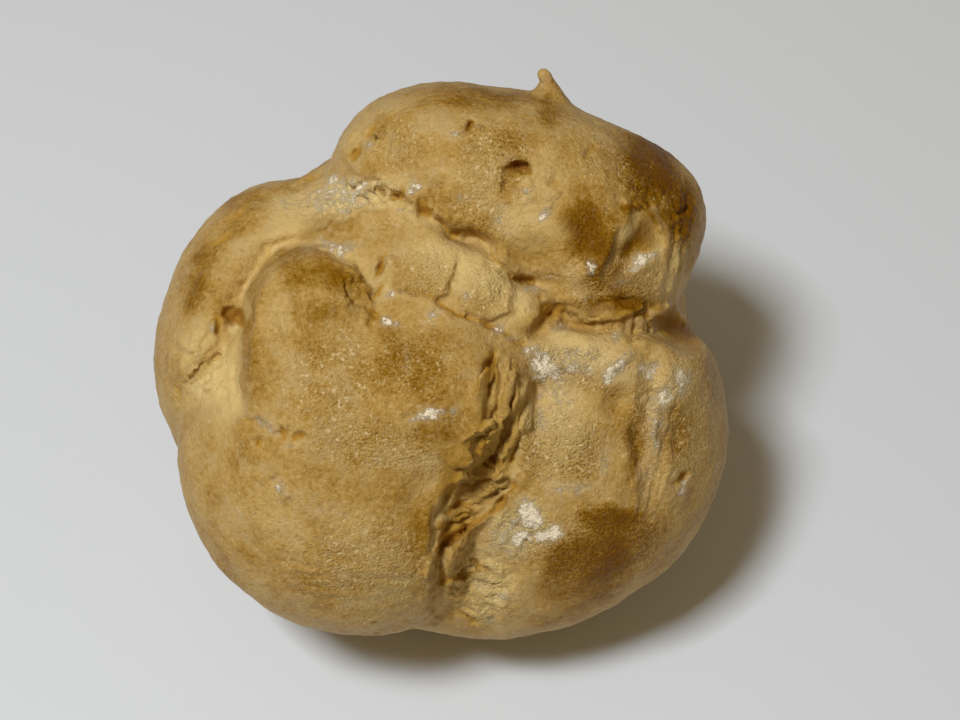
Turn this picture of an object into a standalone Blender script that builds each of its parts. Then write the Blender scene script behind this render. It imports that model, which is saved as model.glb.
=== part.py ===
"""A cream puff: one bun of baked choux pastry that burst as it rose.

The bun is one solid. Steam blew the round dough apart into crust lobes round a soft
core, and lifted the cap, with its piped tip, up and back. The lobes and the tears
between them are laid out from the serving side: in millimetres across, up and out
towards an eye that looks down at the bun, measured from the bun's middle. The origin
is under the middle of the bun, on the surface that it rests on, with +Z up.
"""

import math

import bmesh
import bpy
import numpy as np
from mathutils import Matrix, Vector, noise

MM = 0.001
MIDDLE = Vector((0.3, -0.7, 24.5)) * MM   # the bun's middle, from the origin
SERVING_ELEVATION = math.radians(56.7)
SERVING_LEAN = math.radians(2.6)
EYE = (4.0, -0.5, 209.8)                  # where the eye is: across, up and out, in mm

SKIN_VOXEL = 0.5 * MM
TRIANGLES = 9400
GOLDEN_CRUST = (0.50, 0.32, 0.11)         # red, green and blue, linear
CRUST_ROUGHNESS = 0.6

# Lumps of two sizes swell the crust: (how far apart, how high), in mm.
WIDE_LUMPS = (9.0, 0.35)
SMALL_LUMPS = (3.5, 0.15)
FREE_ABOVE = (1.0, 7.0)                   # the heights over which the lumps set in, in mm
PRESSED = 0.12                            # what lies this low, in mm, is pressed flat

# Each crust lobe is a group of balls that swelled together. A ball has its middle and
# its radii, as (across, up, out) in mm, and its turn in degrees.
LOBES = {
    "core": [((0, 0, -1), (23, 23, 21), 0)],
    "cap": [
        ((4, 17.6, 4), (14.5, 9.9, 14.5), -12),
        ((12.8, 13.4, 4), (12.5, 10.7, 14.5), -32),
        ((20.3, 15.0, 2), (6.7, 6.2, 10), -20),
        ((16.5, 8.5, 8.5), (7, 5.5, 8.5), -25),
        ((-2.5, 19.1, 4), (8, 6, 9), 25),
        ((2, 7, -13), (21, 19, 13), 0),
    ],
    "front": [
        ((-9.8, -11.6, 5), (17.8, 16.2, 16.5), -38),
        ((-12, 1.5, 12.5), (8.4, 9.6, 9.4), 0),
        ((1.5, -2.5, 13), (9, 7.5, 10), -30),
        ((-6, -5, 10), (13, 8, 12.5), 0),
    ],
    "right": [
        ((11.8, -9.2, 2), (17.0, 18.4, 16), -45),
        ((17.5, -1.5, 9), (9, 6.5, 9), 0),
        ((4.5, -20, 1), (13, 9, 10), 5),
    ],
    "left": [
        ((-14.4, 0, 0), (15.6, 17.6, 15), 0),
        ((-16.9, 9.6, -2), (7.6, 7.3, 9.5), -20),
    ],
    "neck": [((-8, 13, -2), (12, 8.6, 12), 30)],
}
# The tip that the piping nozzle drew up, laid out like a lobe.
TIP = [
    ((11.4, 25.6, 7.5), (1.5, 1.5, 1.5), 0),
    ((11.0, 26.9, 8.2), (1.0, 1.2, 1.0), 0),
    ((10.4, 28.1, 8.9), (0.7, 0.8, 0.7), 0),
]
# The foot that the lobes stand on. It is laid out upright: (x, y, z) in mm.
FOOT = [
    ((-1, 1, 13), (27, 25.4, 19), 0),
    ((3, 9, 16), (24, 20, 18), 0),
]
SWELL_BLEND = 5.0                         # how softly the balls of one lobe run together
CREASE_BLEND = 0.7                        # how softly two lobes meet
FOOT_BLEND = 3.0                          # how softly the lobes run into the foot
TIP_BLEND = 1.6                           # how softly the tip runs into the cap
REST_BLEND = 6.0                          # how softly the sides turn in to the resting face

# Each tear runs through points as the eye sees them: (across, up), half its width and
# its depth, all in mm.
TEARS = {
    "cleft": [
        (9.0, -0.8, 0.4, 1.0), (10.0, -3.3, 0.7, 2.5), (8.2, -6.3, 1.0, 4.0),
        (6.6, -9.4, 1.7, 5.5), (4.8, -12.6, 2.3, 6.0), (3.0, -15.7, 2.0, 5.5),
        (0.8, -18.9, 1.2, 4.5), (-0.2, -21.5, 0.9, 3.0), (-0.4, -27.5, 1.0, 1.5),
    ],
    "under_cap": [
        (-9.6, 21.2, 0.5, 1.0), (-6.8, 17.8, 0.8, 2.0), (-2.5, 14.8, 0.8, 2.2),
        (1.5, 12.8, 0.9, 2.5), (5.9, 11.3, 0.8, 2.0), (8.0, 8.4, 0.8, 2.2),
        (12.0, 7.4, 0.6, 1.2),
    ],
    "under_chin": [
        (9.4, 2.2, 0.7, 1.5), (11.8, 4.2, 1.2, 3.0), (15.5, 3.0, 0.8, 2.5),
        (20.5, 3.2, 0.8, 2.5), (23.6, 2.8, 1.3, 4.0), (25.8, 1.8, 1.6, 5.0),
    ],
    "left_hollow": [(-22.9, 2.9, 1.0, 3.5), (-21.5, 4.2, 1.2, 4.0), (-20.8, 3.6, 0.9, 3.0)],
    "boss_step": [
        (-25.5, -5.4, 1.5, 0.6), (-22.0, -4.8, 1.6, 1.0), (-22.0, 1.5, 1.6, 1.4),
        (-21.3, 6.5, 1.6, 1.4), (-19.0, 10.7, 1.4, 1.1), (-15.0, 12.2, 1.2, 0.8),
    ],
    "right_fold": [
        (21.8, 0.5, 0.9, 0.6), (21.6, -4.7, 1.2, 1.1), (22.0, -9.9, 1.2, 0.9),
        (21.4, -15.0, 0.9, 0.4),
    ],
}


def serving_frame():
    """Turns (across, up, out) from the bun's middle, in metres, into a point."""
    out = Vector((0, -math.cos(SERVING_ELEVATION), math.sin(SERVING_ELEVATION)))
    across = Matrix.Rotation(-SERVING_LEAN, 3, out) @ Vector((1, 0, 0))
    turn = Matrix((across, out.cross(across), out)).transposed().to_4x4()
    return Matrix.Translation(MIDDLE) @ turn


def moved(points, matrix):
    """The points, one to a row, after the matrix."""
    matrix = np.array(matrix)
    return points @ matrix[:3, :3].T + matrix[:3, 3]


def ball_distance(points, middle, radii, turn):
    """About how far each point is outside a ball that is stretched to its radii."""
    turned = Matrix.Rotation(math.radians(-turn), 4, "Z")
    local = moved(points - np.array(middle), turned)
    share = np.linalg.norm(local / radii, axis=1)
    slope = np.linalg.norm(local / np.square(radii), axis=1)
    return share * (share - 1) / np.maximum(slope, 1e-9)


def soft_union(first, second, blend):
    """The distance to two shapes that run together over the blend length."""
    mix = np.clip(0.5 + 0.5 * (second - first) / blend, 0, 1)
    return second + (first - second) * mix - blend * mix * (1 - mix)


def balls_distance(points, balls, blend):
    lobe = ball_distance(points, *balls[0])
    for ball in balls[1:]:
        lobe = soft_union(lobe, ball_distance(points, *ball), blend)
    return lobe


def bun_distance(points):
    """About how far each point is outside the bun, from (across, up, out) in mm."""
    bun = balls_distance(points, LOBES["core"], SWELL_BLEND)
    for lobe in ("cap", "front", "right", "left", "neck"):
        balls = balls_distance(points, LOBES[lobe], SWELL_BLEND)
        bun = soft_union(bun, balls, CREASE_BLEND)
    upright = moved(points * MM, serving_frame()) / MM
    bun = soft_union(bun, balls_distance(upright, FOOT, SWELL_BLEND), FOOT_BLEND)
    bun = soft_union(bun, balls_distance(points, TIP, TIP_BLEND), TIP_BLEND)
    return -soft_union(-bun, upright[:, 2], REST_BLEND)


def settled(points, steps=6):
    """The points moved onto the bun's surface, each down the slope of its distance."""
    reach = 0.05
    for _ in range(steps):
        distance = bun_distance(points)
        slope = np.stack(
            [(bun_distance(points + reach * axis) - distance) / reach for axis in np.eye(3)],
            axis=1,
        )
        steepness = np.maximum((slope**2).sum(axis=1, keepdims=True), 0.3)
        points = points - distance[:, None] * slope / steepness
    return points


def smooth_step(low, high, value):
    share = np.clip((value - low) / (high - low), 0, 1)
    return share * share * (3 - 2 * share)


def as_seen(points):
    """(across, up) of each point as the eye sees it on a card through the middle."""
    eye = np.array(EYE)
    return eye[:2] + (points[:, :2] - eye[:2]) * (EYE[2] / (EYE[2] - points[:, 2:]))


def tear_depth(seen, tear):
    """How deep a tear goes at each seen point."""
    deepest = np.zeros(len(seen))
    for start, end in zip(tear, tear[1:]):
        start, end = np.array(start), np.array(end)
        along = end[:2] - start[:2]
        share = np.clip((seen - start[:2]) @ along / (along @ along), 0, 1)
        nearest = start[:2] + share[:, None] * along
        half_width, depth = (start[2:] + share[:, None] * (end - start)[2:]).T
        off = np.linalg.norm(seen - nearest, axis=1) / half_width
        deepest = np.maximum(deepest, depth * smooth_step(1.25, 0.5, off))
    return deepest


def torn(points):
    """The points pressed in where the crust tore open, straight away from the eye."""
    seen = as_seen(points)
    depth = np.max([tear_depth(seen, tear) for tear in TEARS.values()], axis=0)
    depth *= smooth_step(-4, 2, points[:, 2])
    return points - depth[:, None] * np.array((0, 0, 1))


def new_object(name, mesh):
    made = bpy.data.objects.new(name, mesh)
    bpy.context.scene.collection.objects.link(made)
    return made


def dough_balls():
    """All the balls, as one mesh of loose skins."""
    shape = bmesh.new()
    upright = Matrix.Identity(4)
    groups = [(serving_frame(), balls) for balls in (*LOBES.values(), TIP)]
    for frame, balls in (*groups, (upright, FOOT)):
        for middle, radii, turn in balls:
            place = (
                frame
                @ Matrix.Translation(Vector(middle) * MM)
                @ Matrix.Rotation(math.radians(turn), 4, "Z")
                @ Matrix.Diagonal((*(radius * MM for radius in radii), 1))
            )
            bmesh.ops.create_icosphere(shape, subdivisions=5, radius=1.0, matrix=place)
    mesh = bpy.data.meshes.new("dough")
    shape.to_mesh(mesh)
    shape.free()
    return mesh


def realised(source):
    """The object's mesh with its modifiers applied. The object is removed."""
    graph = bpy.context.evaluated_depsgraph_get()
    mesh = bpy.data.meshes.new_from_object(source.evaluated_get(graph))
    bpy.data.objects.remove(source)
    return mesh


def reskinned(mesh):
    """The mesh as one closed skin of even squares."""
    source = new_object("source", mesh)
    skin = source.modifiers.new("skin", "REMESH")
    skin.mode = "VOXEL"
    skin.voxel_size = SKIN_VOXEL
    return realised(source)


def thinned(mesh):
    """The mesh with as few triangles as a solid of this size should have."""
    source = new_object("source", mesh)
    thin = source.modifiers.new("thin", "DECIMATE")
    thin.ratio = TRIANGLES / sum(len(face.vertices) - 2 for face in mesh.polygons)
    return realised(source)


def get_points(mesh):
    points = np.empty(len(mesh.vertices) * 3)
    mesh.vertices.foreach_get("co", points)
    return points.reshape(-1, 3)


def set_points(mesh, points):
    mesh.vertices.foreach_set("co", points.ravel())
    mesh.update()


def reshape(mesh, change):
    """Moves the mesh's points by the change, which takes (across, up, out) in mm."""
    local = moved(get_points(mesh), serving_frame().inverted()) / MM
    set_points(mesh, moved(change(local) * MM, serving_frame()))


def swell(mesh):
    """Raises uneven lumps, as steam does."""
    points = get_points(mesh)
    normals = np.empty(len(mesh.vertices) * 3)
    mesh.vertices.foreach_get("normal", normals)
    normals = normals.reshape(-1, 3)
    free = smooth_step(*FREE_ABOVE, points[:, 2:] / MM)
    for spacing, height in (WIDE_LUMPS, SMALL_LUMPS):
        rise = [noise.noise(point) for point in (points / MM / spacing).tolist()]
        points += np.array(rise)[:, None] * free * normals * height * MM
    set_points(mesh, points)


def rest(mesh):
    """Presses the underside flat at the height of the origin."""
    points = get_points(mesh)
    points[points[:, 2] < PRESSED * MM, 2] = 0
    set_points(mesh, points)


def centre(mesh):
    """Puts the origin under the middle of the bun."""
    points = get_points(mesh)
    middle = (points.min(axis=0) + points.max(axis=0)) / 2
    middle[2] = 0
    set_points(mesh, points - middle)


def crust_material():
    material = bpy.data.materials.new("golden crust")
    material.use_nodes = True
    shader = material.node_tree.nodes["Principled BSDF"]
    shader.inputs["Base Color"].default_value = (*GOLDEN_CRUST, 1)
    shader.inputs["Roughness"].default_value = CRUST_ROUGHNESS
    shader.inputs["Metallic"].default_value = 0.0
    return material


def make_puff():
    mesh = reskinned(dough_balls())
    reshape(mesh, settled)
    swell(mesh)
    reshape(mesh, torn)
    rest(mesh)
    mesh = reskinned(mesh)
    mesh = thinned(mesh)
    rest(mesh)
    centre(mesh)
    mesh.name = "puff"
    mesh.materials.append(crust_material())
    puff = bpy.data.objects.new("puff", mesh)
    group = bpy.data.collections.new("cream_puff")
    group.objects.link(puff)
    bpy.context.scene.collection.children.link(group)


def main():
    for old in list(bpy.data.objects):
        bpy.data.objects.remove(old)
    make_puff()


main()
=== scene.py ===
"""Looks for a cream puff: a bun of baked choux pastry that burst as it rose.

The crust is sculpted on a copy of the solid. Its tears, plates, folds and dents are
laid out as an eye on the serving side sees them: in millimetres (across, up) on a card
through the bun's middle, then pressed into the crust along the line of sight. What
the serving side doesn't show gets the same kinds of relief from patterns in space.
"""

import math

import bmesh
import bpy
import numpy as np
from mathutils import Matrix, Vector, noise
from mathutils.bvhtree import BVHTree


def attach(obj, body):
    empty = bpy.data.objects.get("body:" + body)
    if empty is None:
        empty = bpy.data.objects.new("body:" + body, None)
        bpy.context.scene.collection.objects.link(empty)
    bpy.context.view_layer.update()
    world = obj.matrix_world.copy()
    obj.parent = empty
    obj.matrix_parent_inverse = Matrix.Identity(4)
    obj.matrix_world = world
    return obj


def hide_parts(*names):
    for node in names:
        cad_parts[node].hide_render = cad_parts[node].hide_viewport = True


MM = 0.001
MIDDLE = Vector((0.3, -0.7, 24.5)) * MM
SERVING_ELEVATION = math.radians(56.7)
SERVING_LEAN = math.radians(2.6)
EYE = (4.0, -0.5, 209.8)
LENS_PER_SENSOR = 75 / 36
LAMP_SIDE = (-0.32, -0.24, 1.0)
LAMP_AWAY = 0.5

CARVE_VOXEL = 0.28 * MM
FINE_VOXEL = 0.23 * MM
CRUST_TRIANGLES = 196_000
HIDDEN_SHARE = 2e-7

noise.seed_set(5)  # noise vectors follow the clock otherwise

# ---------------------------------------------------------------- relief, as seen

# Cuts open along a path of (across, up, half width, depth), in mm.
CUTS = {
    # the deep cleft between the front and the right lobe
    "cleft floor crack": [
        (7.2, -12.6, 0.2, 0.6), (7.7, -13.4, 0.25, 0.8), (6.6, -15.2, 0.25, 0.9), (5.6, -16.4, 0.25, 1.0),
        (4.0, -17.3, 0.25, 1.1), (2.9, -18.0, 0.28, 1.3), (1.7, -18.9, 0.3, 1.5),
        (0.4, -19.9, 0.38, 1.8), (-0.4, -20.5, 0.35, 1.4),
    ],
    "cleft cavity high": [
        (5.0, -7.8, 0.22, 0.7), (4.4, -9.4, 0.32, 1.1), (3.0, -10.9, 0.36, 1.3), (2.1, -12.0, 0.3, 1.0),
    ],
    "cleft hole": [(5.5, -10.7, 0.45, 1.3), (5.9, -11.2, 0.45, 1.3)],
    "cleft floor shade": [(2.0, -12.8, 0.3, 0.8), (1.0, -14.0, 0.35, 1.0), (0.2, -15.2, 0.3, 0.8)],
    "cleft cavity side": [(7.9, -8.0, 0.3, 0.9), (7.8, -9.4, 0.35, 1.1), (7.4, -11.2, 0.3, 0.9)],
    "cleft cavity middle": [(2.9, -15.7, 0.25, 0.9), (1.6, -16.0, 0.36, 1.3), (0.5, -16.4, 0.3, 1.0)],
    "cleft cavity low": [(0.1, -17.4, 0.28, 0.9), (-0.5, -18.0, 0.3, 1.0), (-0.9, -18.5, 0.25, 0.8)],
    "strip shade": [(-0.2, -21.6, 0.3, 0.7), (0.0, -23.4, 0.35, 0.9), (-0.2, -25.6, 0.3, 0.6)],
    "slot": [(5.6, 0.2, 0.22, 0.9), (5.1, -1.0, 0.4, 1.6), (4.7, -2.6, 0.35, 1.4), (4.9, -4.2, 0.25, 0.8)],
    # where the cap lifted off the plates in front of it
    "cap left crack": [
        (-9.3, 20.6, 0.3, 0.9), (-8.9, 21.4, 0.4, 1.1), (-8.5, 22.2, 0.2, 0.6),
    ],
    "cap left crack high": [(-8.0, 23.0, 0.25, 0.7), (-7.2, 23.9, 0.3, 0.8), (-6.4, 24.3, 0.15, 0.4)],
    "cap left crack top": [(-5.9, 24.9, 0.12, 0.4), (-5.2, 25.3, 0.2, 0.6), (-4.6, 25.7, 0.12, 0.3)],
    "cap left crease one": [(-7.8, 19.4, 0.12, 0.4), (-6.8, 20.6, 0.15, 0.5), (-6.0, 22.0, 0.1, 0.3)],
    "cap left crease two": [(-3.6, 21.8, 0.1, 0.3), (-3.0, 23.4, 0.14, 0.5), (-2.4, 24.8, 0.1, 0.3)],
    "cap edge pit one": [(-6.5, 17.5, 0.2, 0.8), (-6.2, 17.0, 0.25, 0.9)],
    "cap edge pit two": [(-5.1, 16.5, 0.3, 1.0), (-4.2, 16.9, 0.35, 1.2)],
    "cap edge hollow": [(-2.1, 16.4, 0.35, 0.6), (-1.9, 15.2, 0.6, 1.4), (-1.5, 14.5, 0.25, 0.6)],
    "cap edge crack": [(-0.9, 14.2, 0.2, 0.6), (0.0, 13.5, 0.25, 0.9), (0.9, 12.8, 0.25, 1.0)],
    "cap wedge one": [(0.9, 12.4, 0.22, 0.7), (1.7, 12.8, 0.32, 1.1), (2.3, 13.2, 0.25, 0.9)],
    "cap wedge two": [(3.0, 13.0, 0.3, 1.0), (3.8, 12.5, 0.32, 1.1), (4.8, 11.9, 0.22, 0.7)],
    "cap skirt crack": [
        (5.3, 11.2, 0.16, 0.6), (5.5, 10.0, 0.18, 0.8), (6.4, 9.1, 0.2, 0.7),
        (7.3, 8.3, 0.22, 0.8), (8.2, 7.7, 0.35, 1.2), (9.5, 7.8, 0.3, 1.0),
    ],
    "chin pin hole": [(10.2, 6.0, 0.25, 1.0), (10.4, 6.3, 0.25, 1.0)],
    "under the chin": [
        (9.8, 2.4, 0.4, 0.4), (10.5, 3.8, 0.6, 0.7), (11.2, 4.8, 0.7, 1.1),
        (12.2, 5.0, 0.45, 0.9), (13.0, 4.2, 0.3, 0.5),
    ],
    "chin shadow": [
        (12.4, 3.6, 0.2, 0.4), (15.0, 3.2, 0.2, 0.6), (17.2, 3.8, 0.2, 0.6),
        (19.4, 4.4, 0.25, 0.8), (21.4, 4.2, 0.35, 1.0),
    ],
    "right hollow": [
        (22.6, 3.6, 0.5, 0.8), (23.9, 3.3, 1.3, 1.2), (25.3, 2.0, 1.4, 1.2),
        (26.8, 0.9, 0.8, 0.8),
    ],
    # smaller openings in the cap
    "cap slit": [(1.9, 22.9, 0.15, 0.5), (2.7, 23.7, 0.38, 1.5), (3.2, 24.3, 0.38, 1.4)],
    "cap hole": [(6.9, 19.3, 0.25, 0.6), (7.8, 19.8, 0.5, 2.2), (8.8, 19.8, 0.5, 2.2), (9.4, 19.1, 0.25, 1.0)],
    "cap pit one": [(11.0, 17.8, 0.3, 0.5), (12.1, 18.2, 0.3, 0.5)],
    "cap pit two": [(14.0, 17.6, 0.2, 0.6), (14.7, 18.5, 0.2, 0.6)],
    "cap pit three": [(14.9, 21.0, 0.2, 0.6), (15.9, 21.7, 0.2, 0.6)],
    "cap pit four": [(-1.8, 21.4, 0.2, 0.4), (-1.7, 21.9, 0.2, 0.4)],
    # cracks in the plates in front of the cap
    "plate crack": [
        (-3.2, 6.9, 0.15, 0.4), (-1.2, 6.1, 0.2, 0.9), (0.5, 5.1, 0.22, 1.0),
        (2.0, 4.2, 0.22, 1.0), (3.6, 3.7, 0.22, 1.0), (5.2, 3.1, 0.25, 1.0),
        (7.4, 2.0, 0.25, 0.8), (8.4, 1.0, 0.3, 0.8),
    ],
    "plate slit": [(0.6, 5.9, 0.14, 0.5), (0.9, 7.5, 0.15, 0.6), (1.6, 9.5, 0.13, 0.4)],
    "boss slit": [(-6.0, 10.6, 0.14, 0.6), (-6.5, 9.4, 0.28, 1.3), (-6.7, 8.5, 0.2, 0.9), (-7.1, 8.0, 0.12, 0.4)],
    "boss hole": [(-7.3, 6.0, 0.16, 0.6), (-6.8, 6.5, 0.26, 1.1), (-6.2, 7.2, 0.2, 0.9)],
    "boss mouth": [(-7.6, 4.9, 0.18, 0.7), (-7.0, 4.2, 0.28, 1.0), (-7.5, 3.2, 0.22, 0.8), (-6.8, 2.8, 0.12, 0.4)],
    "boss pit one": [(-10.8, 9.3, 0.3, 0.6), (-9.6, 9.0, 0.3, 0.6)],
    "boss pit two": [(-9.9, 7.4, 0.3, 0.6), (-8.6, 7.2, 0.25, 0.5)],
    "boss pit three": [(-10.9, 5.1, 0.25, 0.5), (-10.5, 4.6, 0.25, 0.5)],
    # the left lobe
    "left slit": [(-23.9, 11.6, 0.22, 0.7), (-23.0, 12.1, 0.32, 1.0), (-22.0, 12.7, 0.22, 0.7)],
    "left crack": [(-22.0, 14.0, 0.16, 0.6), (-21.0, 14.9, 0.22, 0.8), (-20.1, 15.7, 0.18, 0.6), (-19.2, 16.7, 0.22, 0.7)],
    "left fold": [
        (-19.9, 7.9, 0.15, 0.3), (-19.3, 9.6, 0.18, 0.5), (-18.0, 11.2, 0.18, 0.5),
        (-16.6, 12.2, 0.15, 0.4), (-14.2, 12.5, 0.12, 0.3),
    ],
    "left hole": [(-23.6, 4.0, 0.35, 0.8), (-22.6, 4.3, 0.55, 1.3), (-21.5, 4.2, 0.6, 1.4), (-20.9, 3.5, 0.5, 1.3)],
    "left hole side": [(-23.5, 3.8, 0.3, 1.0), (-23.4, 2.6, 0.28, 0.9), (-23.2, 1.7, 0.2, 0.5)],
    "left torn one": [(-26.2, 1.0, 0.12, 0.3), (-25.0, 1.6, 0.15, 0.5), (-23.9, 3.0, 0.15, 0.5)],
    "left torn two": [
        (-23.0, 0.6, 0.14, 0.4), (-23.8, -0.5, 0.22, 0.5), (-24.9, -1.6, 0.2, 0.5),
        (-26.0, -2.8, 0.22, 0.5), (-27.6, -2.9, 0.24, 0.5),
    ],
    "left torn three": [(-27.9, -3.6, 0.28, 0.6), (-27.3, -4.8, 0.24, 0.45), (-26.8, -5.5, 0.22, 0.45)],
    "neck crack one": [(-15.6, 17.2, 0.2, 0.4), (-14.4, 17.3, 0.25, 0.5)],
    "neck crack two": [(-13.8, 18.3, 0.3, 0.5), (-12.6, 18.8, 0.35, 0.6)],
    # the lower torn strip under the cleft
    "strip crack one": [(0.4, -23.8, 0.35, 0.9), (1.8, -23.2, 0.4, 1.1), (3.3, -22.7, 0.3, 0.7)],
    "strip crack two": [(2.8, -21.2, 0.2, 0.6), (3.9, -22.0, 0.25, 0.8), (5.0, -22.9, 0.2, 0.5)],
    "strip crack three": [(1.4, -26.2, 0.2, 0.5), (2.6, -27.2, 0.3, 0.8), (3.4, -27.8, 0.3, 0.7)],
    # the right lobe
    "right slit": [(24.4, -13.6, 0.25, 0.8), (25.2, -12.8, 0.35, 1.1), (26.1, -12.2, 0.15, 0.4)],
    "right small crack": [(8.6, -20.0, 0.12, 0.4), (9.3, -20.6, 0.2, 0.5), (9.9, -21.2, 0.12, 0.3)],
    # pits in a row across the front lobe
    "front pit one": [(-20.2, -6.9, 0.35, 0.7), (-19.4, -6.6, 0.35, 0.8), (-18.4, -7.3, 0.25, 0.5)],
    "front pit two": [(-19.6, -9.2, 0.3, 0.9), (-19.2, -8.8, 0.3, 0.9)],
    "front seam": [
        (-19.2, -8.6, 0.15, 0.5), (-18.3, -9.6, 0.16, 0.5), (-18.3, -11.6, 0.14, 0.4),
        (-17.2, -14.0, 0.2, 0.6), (-16.2, -16.2, 0.16, 0.5), (-15.6, -18.2, 0.12, 0.35),
        (-14.1, -20.0, 0.14, 0.4), (-13.4, -21.9, 0.1, 0.25),
    ],
    "front pit three": [(-16.8, -7.8, 0.25, 1.0), (-16.6, -8.5, 0.28, 1.1)],
    "front pit four": [(-15.3, -8.5, 0.25, 0.9), (-14.7, -8.3, 0.25, 0.9)],
    "front pit five": [(-14.4, -6.8, 0.2, 0.7), (-13.7, -6.3, 0.2, 0.7)],
    "front pin hole": [(-6.55, -22.2, 0.13, 0.9), (-6.45, -22.2, 0.13, 0.9)],
    "front flour crack": [(-3.8, -6.6, 0.2, 0.5), (-3.0, -6.1, 0.15, 0.3)],
}

# Where crumb fills the solid's tears again: (across, up, half width, height), in mm.
FILLS = {
    "cap edge": [
        (-9.8, 21.4, 0.9, 0.8), (-6.8, 17.8, 1.3, 1.9), (-2.5, 14.8, 1.3, 2.0),
        (0.0, 13.6, 1.2, 1.4), (1.5, 12.8, 1.0, 0.6),
    ],
    "cap skirt": [(5.6, 11.5, 0.9, 0.8), (6.6, 10.2, 1.1, 1.5), (7.6, 8.8, 0.9, 0.8)],
    "chin knob": [(12.6, 4.5, 0.9, 0.8), (14.8, 4.3, 1.2, 1.6), (17.2, 4.5, 1.0, 1.2), (19.6, 4.6, 0.8, 0.6)],
    "cleft": [
        (9.4, -4.6, 0.8, 0.8), (8.5, -6.2, 1.2, 1.5), (7.3, -8.0, 1.6, 3.0), (6.0, -10.0, 2.1, 4.8),
        (5.0, -12.0, 2.4, 5.7), (4.0, -14.0, 2.4, 5.9), (3.0, -16.0, 2.2, 5.2),
        (1.8, -18.0, 1.7, 3.7), (0.6, -20.0, 1.5, 2.9), (0.1, -22.0, 1.1, 1.9), (0.1, -26.0, 0.9, 1.1),
    ],
    "cleft right": [
        (9.0, -3.2, 0.8, 0.6), (8.6, -5.0, 1.1, 1.5), (8.2, -7.0, 1.2, 1.9), (7.6, -9.0, 1.2, 1.8),
        (6.8, -11.0, 1.2, 1.4), (6.2, -13.0, 1.0, 0.8),
    ],
    "strip shade": [(0.8, -21.6, 0.9, 0.5), (1.2, -23.6, 1.2, 1.0), (1.2, -25.8, 1.0, 0.7)],
    "left hole": [(-23.4, 2.8, 1.2, 1.6), (-21.2, 4.0, 1.2, 1.6)],
    "under chin": [(10.2, 3.4, 1.2, 0.8), (11.6, 4.2, 1.4, 1.3)],
    "chin crease": [
        (11.5, 3.1, 0.9, 0.8), (14.5, 3.0, 1.2, 1.6), (17.5, 3.2, 1.2, 1.7),
        (20.0, 3.5, 1.0, 1.4), (21.8, 3.6, 0.9, 0.8),
    ],
}

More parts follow.
